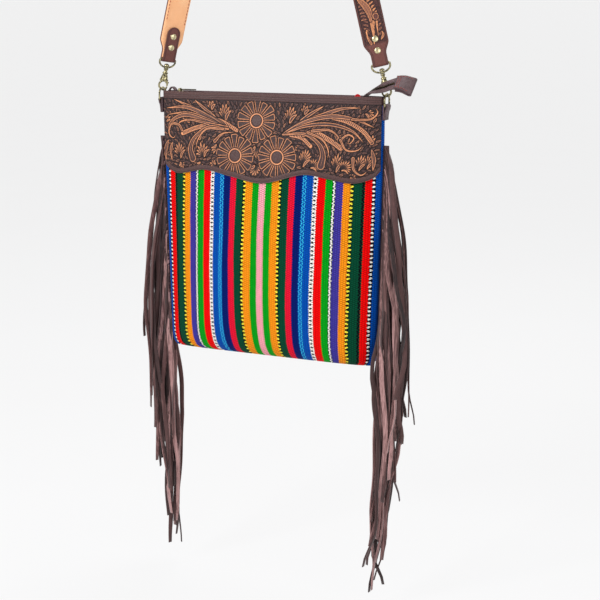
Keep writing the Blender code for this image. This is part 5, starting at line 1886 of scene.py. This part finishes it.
@dataclass(frozen=True)
class ClaspSizes:
    """Sizes of the rings and clasps."""

    ring_wire: float = 0.0012
    ring_width: float = 0.0180
    ring_height: float = 0.0154
    ring_top: float = 0.0045
    ring_corner: float = 0.0022
    ring_crown: float = 0.86
    tab: float = 0.0016
    tab_width: float = 0.0140
    tab_drop: float = 0.0170
    lean: float = 14.0
    hook_wire: float = 0.0013
    hook_width: float = 0.0118
    hook_height: float = 0.0112
    bar: float = 0.0036
    bar_length: float = 0.0108
    bar_depth: float = 0.0052
    bar_rise: float = 0.0054
    bar_bevel: float = 0.0009
    hook_root: float = 0.0026
    body_radius: float = 0.0048
    body_length: float = 0.0150
    post: float = 0.0011
    head_radius: float = 0.0035
    head_height: float = 0.0032
    boss_radius: float = 0.0030
    boss_height: float = 0.0032
    loop_wire: float = 0.0012
    loop_width: float = 0.0232
    loop_height: float = 0.0110
    loop_corner: float = 0.0020
    loop_crown: float = 0.72

    def ring_bar(self, side: int) -> Vector:
        """The middle of a D ring's straight bar."""
        fold = self.ring_wire + FIT_GAP + self.tab
        return Vector((side * (BAG.width / 2 + FIT_GAP + fold), 0.0,
                       self.ring_top - self.ring_height - STRAP_DROP))

    def clasp(self, side: int) -> Matrix:
        """Frame of a leaning clasp: origin at the hook's middle, X away from the bag."""
        lean = radians(self.lean)
        up = Vector((-side * sin(lean), 0.0, cos(lean)))
        out = Vector((side * cos(lean), 0.0, sin(lean)))
        seat = self.hook_height / 2 - self.hook_wire - FIT_GAP - self.ring_wire
        top = Vector((self.ring_bar(side).x, 0.0, self.ring_top - STRAP_DROP))
        return set_axes(out, up.cross(out), up, top + up * seat)

    def levels(self) -> tuple[float, float, float, float]:
        """Heights over the hook's middle: the body's foot and top, the boss and the head."""
        foot = self.bar_rise + self.bar * 0.6
        shoulder = foot + self.body_length
        boss = shoulder + FIT_GAP + self.boss_height / 2
        return foot, shoulder, boss, boss + self.boss_height / 2 + FIT_GAP


CLASP = ClaspSizes()


class StrapRoute:
    """The strap's middle line from the right clasp over the hanging point to the left clasp."""

    azimuths = {"left": 55.0, "right": 20.0, "peg": 36.0}
    lining = 0.0020
    peg_bend = 0.0200
    reach_share = 0.50
    spread_share = 0.45
    steps = 200

    def __init__(self) -> None:
        """Trace the route."""
        rise = CLASP.levels()[2] + CLASP.loop_height
        ends = {}
        for name, side in SIDES.items():
            matrix = CLASP.clasp(side)
            up = matrix.to_3x3().col[2]
            ends[name] = (matrix.translation + up * rise, up)
        top = Vector((0.0, 0.0, self.lining / 2))
        peg, lean = radians(self.azimuths["peg"]), radians(CLASP.lean)
        across = Vector((cos(peg), sin(peg), 0.0))
        crossing = across.cross(Vector((0, 0, -1))) * cos(lean) - across * sin(lean)
        reach = STRAP_DROP * self.reach_share
        spread = sqrt(2 * STRAP_DROP * self.spread_share * self.peg_bend / 3)
        right, right_up = ends["right"]
        left, left_up = ends["left"]
        runs = ((right, right + right_up * reach, top - crossing * spread, top),
                (top, top + crossing * spread, left + left_up * reach, left))
        points = []
        for run in runs:
            for step in range(self.steps + 1):
                share = step / self.steps
                rest = 1 - share
                points.append(run[0] * rest ** 3 + run[1] * 3 * rest ** 2 * share
                              + run[2] * 3 * rest * share ** 2 + run[3] * share ** 3)
        del points[self.steps]
        self.line = np.array(points)
        gaps = np.linalg.norm(np.diff(self.line, axis=0), axis=1)
        self.lengths = np.concatenate([[0.0], np.cumsum(gaps)])
        self.total = float(self.lengths[-1])
        self.runs = unit(np.gradient(self.line, axis=0))

    def at(self, length: np.ndarray) -> tuple[np.ndarray, np.ndarray, np.ndarray, np.ndarray]:
        """Points, directions, width directions and outward normals at lengths."""
        def read(table: np.ndarray) -> np.ndarray:
            return np.stack([np.interp(length, self.lengths, table[:, axis])
                             for axis in range(3)], axis=1)

        points, run = read(self.line), unit(read(self.runs))
        share = length / self.total
        right, peg, left = (self.azimuths[key] for key in ("right", "peg", "left"))
        turn = np.radians(np.where(share < 0.5, right + (peg - right) * smooth(share * 2),
                                   peg + (left - peg) * smooth(share * 2 - 1)))
        width = square_to(np.stack([np.cos(turn), np.sin(turn), np.zeros_like(turn)], axis=1),
                          run)
        return points, run, width, np.cross(width, run)


@dataclass
class Strap:
    """The strap: a tooled face folded round both clasp loops, a tan lining and rivets."""

    route: StrapRoute
    width: float = 0.032
    face: float = 0.0020
    gap: float = 0.0005
    neck: float = 0.0200
    neck_length: float = 0.0110
    shoulder: float = 0.0160
    tongue_width: float = 0.0190
    tongue: float = 0.0435
    end: float = 0.0010
    rivet: float = 0.0041
    rivet_post: float = 0.0015
    rivet_cap: float = 0.0015
    pitch: float = 0.0620
    tooling_start: float = 0.0260
    columns: int = 38
    rows: int = 1040
    relief_height: float = 0.00045
    edge_round: float = 0.0012
    edge_drop: float = 0.0006
    tooled_from: float = 0.023
    sewn_from: float = 0.047
    sewing_margin: float = 0.0023
    rivet_places = {"lower": 0.0165, "upper": 0.0310}

    def half_width(self, length: np.ndarray) -> np.ndarray:
        """Half the strap's width, which narrows to a neck near each clasp."""
        from_end = np.minimum(length, self.route.total - length)
        share = smooth((from_end - self.neck_length) / self.shoulder)
        return (self.neck + (self.width - self.neck) * share) / 2

    def stations(self) -> dict[str, np.ndarray]:
        """Sections of the face from one tongue's tip to the other's.

        Returns:
            Points on the outer surface, width directions, half widths, lengths along the strap,
            and how much of each section is tooled.
        """
        route = self.route
        inner = route.lining / 2 + self.gap
        outer = inner + self.face
        radius = self.tongue_width / 2
        parts = []
        for side in (1, -1):
            tips = self.tongue - radius * (1 - np.cos(np.radians(np.linspace(4, 90, 12))))
            straight = np.linspace(self.tongue - radius, self.end, 24)[1:]
            length = np.concatenate([tips, straight])
            from_tip = np.minimum(self.tongue - length, radius)
            half = np.sqrt(np.maximum(radius ** 2 - (radius - from_tip) ** 2, 0.0004 ** 2))
            place = length if side > 0 else route.total - length
            points, _, width, normal = route.at(place)
            tongue = (points - normal * outer, width, half, place, np.zeros(len(place)))
            spot = np.array([0.0 if side > 0 else route.total])
            points, run, width, normal = route.at(spot)
            down = run * -side
            angles = np.radians(np.linspace(0, 180, 19))[:, None]
            out = -normal * np.cos(angles) + down * np.sin(angles)
            count = len(angles)
            fold = (points + out * outer, np.repeat(width, count, 0),
                    np.full(count, self.neck / 2), np.full(count, spot[0]), np.zeros(count))
            parts.append([np.concatenate([one, two]) for one, two in zip(tongue, fold)])
        length = np.linspace(self.end, route.total - self.end, self.rows)
        points, _, width, normal = route.at(length)
        from_end = np.minimum(length, route.total - length)
        tooled = smooth((from_end - self.tooled_from) / 0.003)
        face = (points + normal * outer, width, self.half_width(length), length, tooled)
        names = ("points", "width", "half", "length", "tooled")
        return {name: np.concatenate([parts[0][index], face[index], parts[1][index][::-1]])
                for index, name in enumerate(names)}

    def carve(self, along: np.ndarray, across: np.ndarray, edge: np.ndarray,
              tooled: np.ndarray) -> Relief:
        """Carve a combed leaf over a stem and a berry, turned over at each repeat."""
        pitch = self.pitch * 1000
        relief = Relief(np.mod(along - self.tooling_start * 1000, pitch * 2), across)
        spine = ((30, 3), (33, 3), (37, 3), (41, 2), (45, 0), (49, -2), (53, -5))
        for shift, flip in ((-2 * pitch, 1), (-pitch, -1), (0.0, 1), (pitch, -1),
                            (2 * pitch, 1)):
            def carve(width: float, *points: tuple[float, float], taper: Taper = Taper.LEAF,
                      rub_and_highlight: float = 1.0, fill: float = 0.0) -> None:
                spots = tuple((shift + px, flip * py) for px, py in points)
                relief.stroke(Stroke(spots, width, taper, True, 0.0, rub_and_highlight, fill))

            for index in range(6):
                place = 1.0 + 5.0 * index
                carve(1.5, (place, -4), (place + 3, -8), (place + 4, -12), rub_and_highlight=0.5)
                carve(1.5, (place + 2, 6), (place + 5, 9), (place + 6, 12), rub_and_highlight=0.5)
            for index in range(7):
                place = 30.0 + 4.2 * index
                carve(1.5, (place, -4 - 0.5 * index), (place + 1, -9), (place, -12.5), rub_and_highlight=0.55)
            carve(3.2, (-4, -3), (6, -1), (18, 0), (25, 1), taper=Taper.CLUB, fill=0.62)
            carve(1.6, (2, 4.5), (12, 5), (25, 6.4), taper=Taper.CLUB, fill=0.62)
            carve(1.7, (0, -6), (10, -9), (17, -8), (12, -5), taper=Taper.HORN)
            carve(1.6, (2, 7), (8, 11), (13, 10))
            for index, (place, side) in enumerate(spine):
                carve(1.3, (place, side), (place + 3, side + 3), (place + 5, 11 - 0.7 * index))
            carve(4.2, (26, -1), (36, 0), (46, -3), (54, -8), (58, -12), fill=0.42)
            carve(3.9, (31, 6.5), (32, 6.5), taper=Taper.EVEN)
        relief.smooth_band(smooth((2.6 - edge) / 0.8))
        relief.smooth_band(1 - tooled)
        relief.press(np.abs(edge - 2.8), 0.25, 0.45)
        relief.press(np.abs(edge - 1.2), 0.2, 0.45)
        return relief

    def make_face(self, finishes: Finishes) -> None:
        """The tooled outer leather with its folded tongues."""
        table = self.stations()
        rows = len(table["half"]) - 1
        columns = self.columns
        outward = unit(np.cross(table["width"], np.gradient(table["points"], axis=0)))
        normal = self.route.at(table["length"])[3]
        middle = len(outward) // 2
        if (outward[middle] * normal[middle]).sum() < 0:
            outward = -outward
        flat = np.meshgrid(np.linspace(-1, 1, columns + 1), np.arange(rows + 1))
        share, row = flat[0].ravel(), flat[1].ravel()
        half = table["half"][row] * 1000
        carved = self.carve(table["length"][row] * 1000, share * half,
                            (1 - np.abs(share)) * half, table["tooled"][row])

        def order(u: np.ndarray, v: np.ndarray) -> np.ndarray:
            return nearest(v, rows) * (columns + 1) + nearest(u, columns)

        def points(u: np.ndarray, v: np.ndarray) -> np.ndarray:
            row = nearest(v, rows)
            height = carved.height[order(u, v)] * self.relief_height
            edge = (1 - np.abs(u)) * table["half"][row]
            height -= self.edge_drop * (1 - smooth(edge / self.edge_round))
            return (table["points"][row] + table["width"][row] * (u * table["half"][row])[:, None]
                    + outward[row] * height[:, None])

        work = bmesh.new()
        grid(work, columns, rows, points, carved.layers(order))
        obj = new_piece("strap_outer", work, finishes.strap_tooled,
                        replaces=["strap_face"], angle=180.0, turn_out=False)
        spot = Vector(table["points"][middle])
        turn_faces(obj, outward[middle],
                   [min(obj.data.polygons, key=lambda face: (face.center - spot).length)])
        thicken(obj, self.face)

    def make_lining(self, finishes: Finishes) -> None:
        """The tan inner leather, and red stitches along both its edges."""
        margin = CLASP.loop_wire + 3 * FIT_GAP
        total = self.route.total

        def place(u: np.ndarray, v: np.ndarray) -> np.ndarray:
            length = margin + (total - 2 * margin) * (v + 1) / 2
            points, _, width, normal = self.route.at(length)
            half = self.half_width(length) - FIT_GAP
            rounded = 0.0003 * (np.abs(u) > 0.99)
            return (points + width * (u * half)[:, None]
                    - normal * (self.route.lining / 2) + normal * rounded[:, None])

        obj = lay_sheet("strap_inner", (14, 420), place, finishes.tan,
                        "strap_lining")
        turn_faces(obj, (0, 0, -1), [obj.data.polygons[len(obj.data.polygons) // 2]])
        thicken(obj, self.route.lining)
        for name, finish, lift, slot in (
                ("strap_inner_stitches", finishes.red_thread, -self.route.lining / 2,
                 "tan_leather"),
                ("strap_outer_stitches", finishes.dark_thread,
                 self.route.lining / 2 + self.gap + self.face, "tooled_leather")):
            work = bmesh.new()
            length = np.linspace(self.sewn_from, total - self.sewn_from, 900)
            points, _, width, normal = self.route.at(length)
            for edge in (-1, 1):
                offset = (self.half_width(length) - self.sewing_margin) * edge
                line = points + width * offset[:, None] + normal * lift
                STRAP_SEWING.row(work, line, normal * np.sign(lift))
            new_piece(name, work, finish)

    def make_rivets(self, finishes: Finishes) -> None:
        """Domed rivets through the tongues."""
        reach = self.route.lining / 2 + self.gap + self.face + FIT_GAP
        dome = [(0.0, 1.0), (0.25, 0.98), (0.5, 0.9), (0.72, 0.74), (0.88, 0.52), (0.97, 0.3),
                (1.0, 0.12), (0.98, 0.02), (0.9, 0.0)]
        for name, side in SIDES.items():
            for level, length in self.rivet_places.items():
                spot = np.array([length if side > 0 else self.route.total - length])
                point, _, width, normal = (Vector(part[0]) for part in self.route.at(spot))
                matrix = set_axes(width, normal.cross(width), normal, point)
                work = bmesh.new()
                upper = [(self.rivet * out, reach + self.rivet_cap * rise - 0.0003)
                         for out, rise in dome]
                lower = [(out, -height) for out, height in reversed(upper)]
                profile = upper + [(self.rivet_post, reach - 0.0003),
                                   (self.rivet_post, 0.0003 - reach)] + lower
                lathe(work, profile, matrix, 32)
                new_piece("domed_rivet_%s_%s" % (name, level), work, finishes.rivet_brass,
                          replaces=["rivet_%s_%s" % (name, level)])

    def build(self, finishes: Finishes) -> None:
        """Make the whole strap."""
        self.make_face(finishes)
        self.make_lining(finishes)
        self.make_rivets(finishes)


@dataclass
class Hardware:
    """D rings, their tabs, the clasps and the strap's loops."""

    route: StrapRoute

    def ring(self, name: str, side: int, finishes: Finishes) -> None:
        """A D ring of round wire."""
        half = CLASP.ring_width / 2
        outline = d_outline(half, CLASP.ring_height, half * CLASP.ring_crown, CLASP.ring_corner)
        bar = CLASP.ring_bar(side)
        work = bmesh.new()
        sweep(work, [Vector((bar.x, across, bar.z + rise)) for across, rise in outline],
              CLASP.ring_wire, 16, closed=True)
        new_piece("d_ring_wire_" + name, work, finishes.brass,
                  replaces=["d_ring_" + name])

    def ring_tab(self, name: str, side: int, finishes: Finishes) -> None:
        """The leather tab folded round the ring's straight bar and sewn to the bag's side."""
        bar = CLASP.ring_bar(side)
        outer = CLASP.ring_wire + FIT_GAP + CLASP.tab
        pinch = 2 * CLASP.tab + 0.0001 - outer
        angles = np.radians(np.linspace(-20, 180, 21))
        fold = np.stack([outer * np.cos(angles), outer * np.sin(angles)], axis=1)
        front = np.stack([np.linspace(pinch, mixed(pinch, outer, 0.75), 8),
                          np.linspace(-CLASP.tab_drop, -0.0042, 8)], axis=1)
        front[:-1, 0] = pinch + 0.0012 * np.linspace(0, 1, 7) ** 2
        back = np.stack([np.full(8, -outer), np.linspace(-0.001, -CLASP.tab_drop, 8)], axis=1)
        line = np.concatenate([front, fold, back])
        rows = len(line) - 1

        def place(u: np.ndarray, v: np.ndarray) -> np.ndarray:
            index = nearest(v, rows)
            return np.stack([bar.x + side * line[index, 0], u * CLASP.tab_width / 2,
                             bar.z + line[index, 1]], axis=1)

        obj = lay_sheet("ring_leather_" + name, (6, rows), place, finishes.dark,
                        "ring_tab_" + name)
        turn_faces(obj, (0, 0, 1), [max(obj.data.polygons, key=lambda face: face.center.z)])
        thicken(obj, CLASP.tab)
        work = bmesh.new()
        across = np.linspace(-0.8, 0.8, 20) * CLASP.tab_width / 2
        spots = np.stack([across * 0 + bar.x + side * (pinch + 0.0001), across,
                          across * 0 + bar.z - CLASP.tab_drop + 0.0025], axis=1)
        TAB_SEWING.row(work, spots, np.repeat([[float(side), 0, 0]], len(spots), 0))
        new_piece("ring_leather_stitches_" + name, work, finishes.dark_thread)

    def hook(self, name: str, side: int, finishes: Finishes) -> None:
        """The swivelling hook: turned body and post, cross bar and bent wire."""
        matrix = CLASP.clasp(side)
        foot, shoulder, _, head = CLASP.levels()
        radius, length = CLASP.body_radius, CLASP.body_length
        profile = [(0.0, head + CLASP.head_height)]
        profile += [(CLASP.head_radius * sin(radians(angle)), head + CLASP.head_height
                     * (0.25 + 0.75 * cos(radians(angle)))) for angle in range(15, 91, 15)]
        profile += [(CLASP.head_radius * 0.86, head), (CLASP.post, head), (CLASP.post, shoulder)]
        turns = ((1.00, 0.50), (0.985, 0.60), (0.95, 0.66), (0.91, 0.64), (0.87, 0.48),
                 (0.84, 0.45), (0.73, 0.45), (0.71, 0.50), (0.685, 0.72), (0.665, 0.77),
                 (0.60, 0.77), (0.575, 0.72), (0.555, 0.60), (0.50, 0.64), (0.40, 0.80),
                 (0.28, 0.92), (0.14, 0.99), (0.05, 1.0), (0.01, 0.97), (0.0, 0.90))
        profile += [(share * radius, foot + height * length) for height, share in turns]
        profile.append((0.0, foot))
        work = bmesh.new()
        lathe(work, profile, matrix, 32)
        middle = CLASP.bar_rise + CLASP.bar / 2
        bevelled_block(work, matrix @ Matrix.Translation((0, 0, middle)),
                       (CLASP.bar_length, CLASP.bar_depth, CLASP.bar), CLASP.bar_bevel, 3)
        route = [Vector((CLASP.hook_root, 0, middle))]
        route += [Vector((across, 0, rise)) for across, rise in arc(
            (0.0, 0.0), (CLASP.hook_width / 2, CLASP.hook_height / 2), 62, -178, 40)]
        radii = [CLASP.hook_wire * (1.0 if index < len(route) - 8 else
                                    1.0 - 0.03 * (index - len(route) + 8))
                 for index in range(len(route))]
        sweep(work, [matrix @ point for point in route], radii, 16)
        new_piece("clasp_hook_body_" + name, work, finishes.brass,
                  body="hook_" + name, replaces=["clasp_hook_" + name])

    def loop(self, name: str, side: int, finishes: Finishes) -> None:
        """The strap's loop with its bored boss."""
        clasp = CLASP.clasp(side)
        up = clasp.to_3x3().col[2]
        spot = np.array([0.0 if side > 0 else self.route.total])
        width = Vector(self.route.at(spot)[2][0])
        rise = CLASP.levels()[2] + CLASP.loop_height
        matrix = set_axes(width, up.cross(width), up, clasp.translation + up * rise)
        outline = d_outline(CLASP.loop_width / 2, CLASP.loop_height,
                            CLASP.loop_height * CLASP.loop_crown, CLASP.loop_corner)
        work = bmesh.new()
        sweep(work, [matrix @ Vector((across, 0, -drop)) for across, drop in outline],
              CLASP.loop_wire, 16, closed=True)
        bore = CLASP.post + FIT_GAP
        tall, wide = CLASP.boss_height / 2, CLASP.boss_radius
        profile = [(bore, tall), (wide - 0.0004, tall), (wide, tall - 0.0004),
                   (wide, 0.0004 - tall), (wide - 0.0004, -tall), (bore, -tall), (bore, tall)]
        lathe(work, profile, matrix @ Matrix.Translation((0, 0, -CLASP.loop_height)), 28)
        new_piece("clasp_loop_wire_" + name, work, finishes.brass,
                  replaces=["clasp_loop_" + name])

    def build(self, finishes: Finishes) -> None:
        """Make both sides."""
        for name, side in SIDES.items():
            self.ring(name, side, finishes)
            self.ring_tab(name, side, finishes)
            self.hook(name, side, finishes)
            self.loop(name, side, finishes)


# Stage

@dataclass(frozen=True)
class PhotoCamera:
    """The camera at the photograph's angle."""

    azimuth: float = 22.5
    elevation: float = 13.5
    distance: float = 1.662
    lens: float = 75.0
    aim: tuple[float, float, float] = (0.0, 0.0, -0.655)
    right: float = 0.038
    up: float = -0.102

    def build(self) -> None:
        """Place the camera and make it the scene's own."""
        turn, rise = radians(self.azimuth), radians(self.elevation)
        back = Vector((sin(turn) * cos(rise), -cos(turn) * cos(rise), sin(rise)))
        right = Vector((cos(turn), sin(turn), 0.0))
        up = back.cross(right)
        data = bpy.data.cameras.new("photo_camera")
        data.lens = self.lens
        data.sensor_width = 36.0
        data.clip_start = 0.05
        data.clip_end = 4000.0
        obj = add_object("photo_camera", data)
        place = Vector(self.aim) + right * self.right + up * self.up + back * self.distance
        obj.matrix_world = set_axes(right, up, back, place)
        bpy.context.scene.camera = obj


@dataclass(frozen=True)
class SoftLight:
    """One soft studio light."""

    name: str
    place: tuple[float, float, float]
    aim: tuple[float, float, float]
    size: float
    power: float

    def build(self) -> None:
        """Place the light."""
        data = bpy.data.lights.new(self.name, "AREA")
        data.shape = "SQUARE"
        data.size = self.size
        data.energy = self.power
        obj = add_object(self.name, data)
        obj.location = self.place
        toward = Vector(self.aim) - Vector(self.place)
        obj.rotation_euler = toward.to_track_quat("-Z", "Y").to_euler()


@dataclass
class Studio:
    """The pale floor, the lights and the camera."""

    floor_height: float = -1.175
    floor_size: float = 2400.0
    sky: float = 0.55
    backdrop: float = 0.86
    lights = (
        SoftLight("key_light", (-1.1, -2.2, 0.6), (0.0, 0.0, -0.7), 1.1, 52.0),
        SoftLight("fill_light", (2.1, -1.6, -0.2), (0.0, 0.0, -0.7), 1.6, 20.0),
        SoftLight("top_light", (0.2, 0.9, 1.2), (0.0, 0.0, -0.7), 1.5, 26.0),
    )

    def build(self, finishes: Finishes) -> None:
        """Set the stage."""
        PhotoCamera().build()
        for light in self.lights:
            light.build()
        world = bpy.data.worlds.new("studio_world")
        world.use_nodes = True
        world.node_tree.nodes["Background"].inputs[0].default_value = (1.0, 1.0, 1.0, 1.0)
        board = Board(world.node_tree)
        seen = board.node("ShaderNodeLightPath").outputs["Is Camera Ray"]
        board.feed(world.node_tree.nodes["Background"].inputs[1],
                   board.math("MULTIPLY_ADD", seen, self.backdrop - self.sky, self.sky))
        bpy.context.scene.world = world
        bpy.context.scene.view_settings.view_transform = "Standard"
        work = bmesh.new()
        bmesh.ops.create_grid(work, x_segments=2, y_segments=2, size=self.floor_size / 2,
                              matrix=Matrix.Translation((0, 0, self.floor_height)))
        add_object("studio_floor", mesh_of("studio_floor", work, finishes.floor))


def main() -> None:
    """Build every piece."""
    logging.basicConfig(level=logging.INFO, format="%(message)s")
    finishes = Finishes()
    Studio().build(finishes)
    route = StrapRoute()
    WovenBody().build(finishes)
    Yokes().build(finishes)
    Strap(route).build(finishes)
    ZipTop().build(finishes)
    Hardware(route).build(finishes)
    Fringe().build(finishes)
    repaint(finishes.brass, "zip_slider", "clasp_lever_left", "clasp_lever_right")
    # the puller gets the darker brass, with painted shade so that it hardly shows
    repaint(finishes.shade_darkened_brass, "zip_puller")


if __name__ == "__main__":
    main()
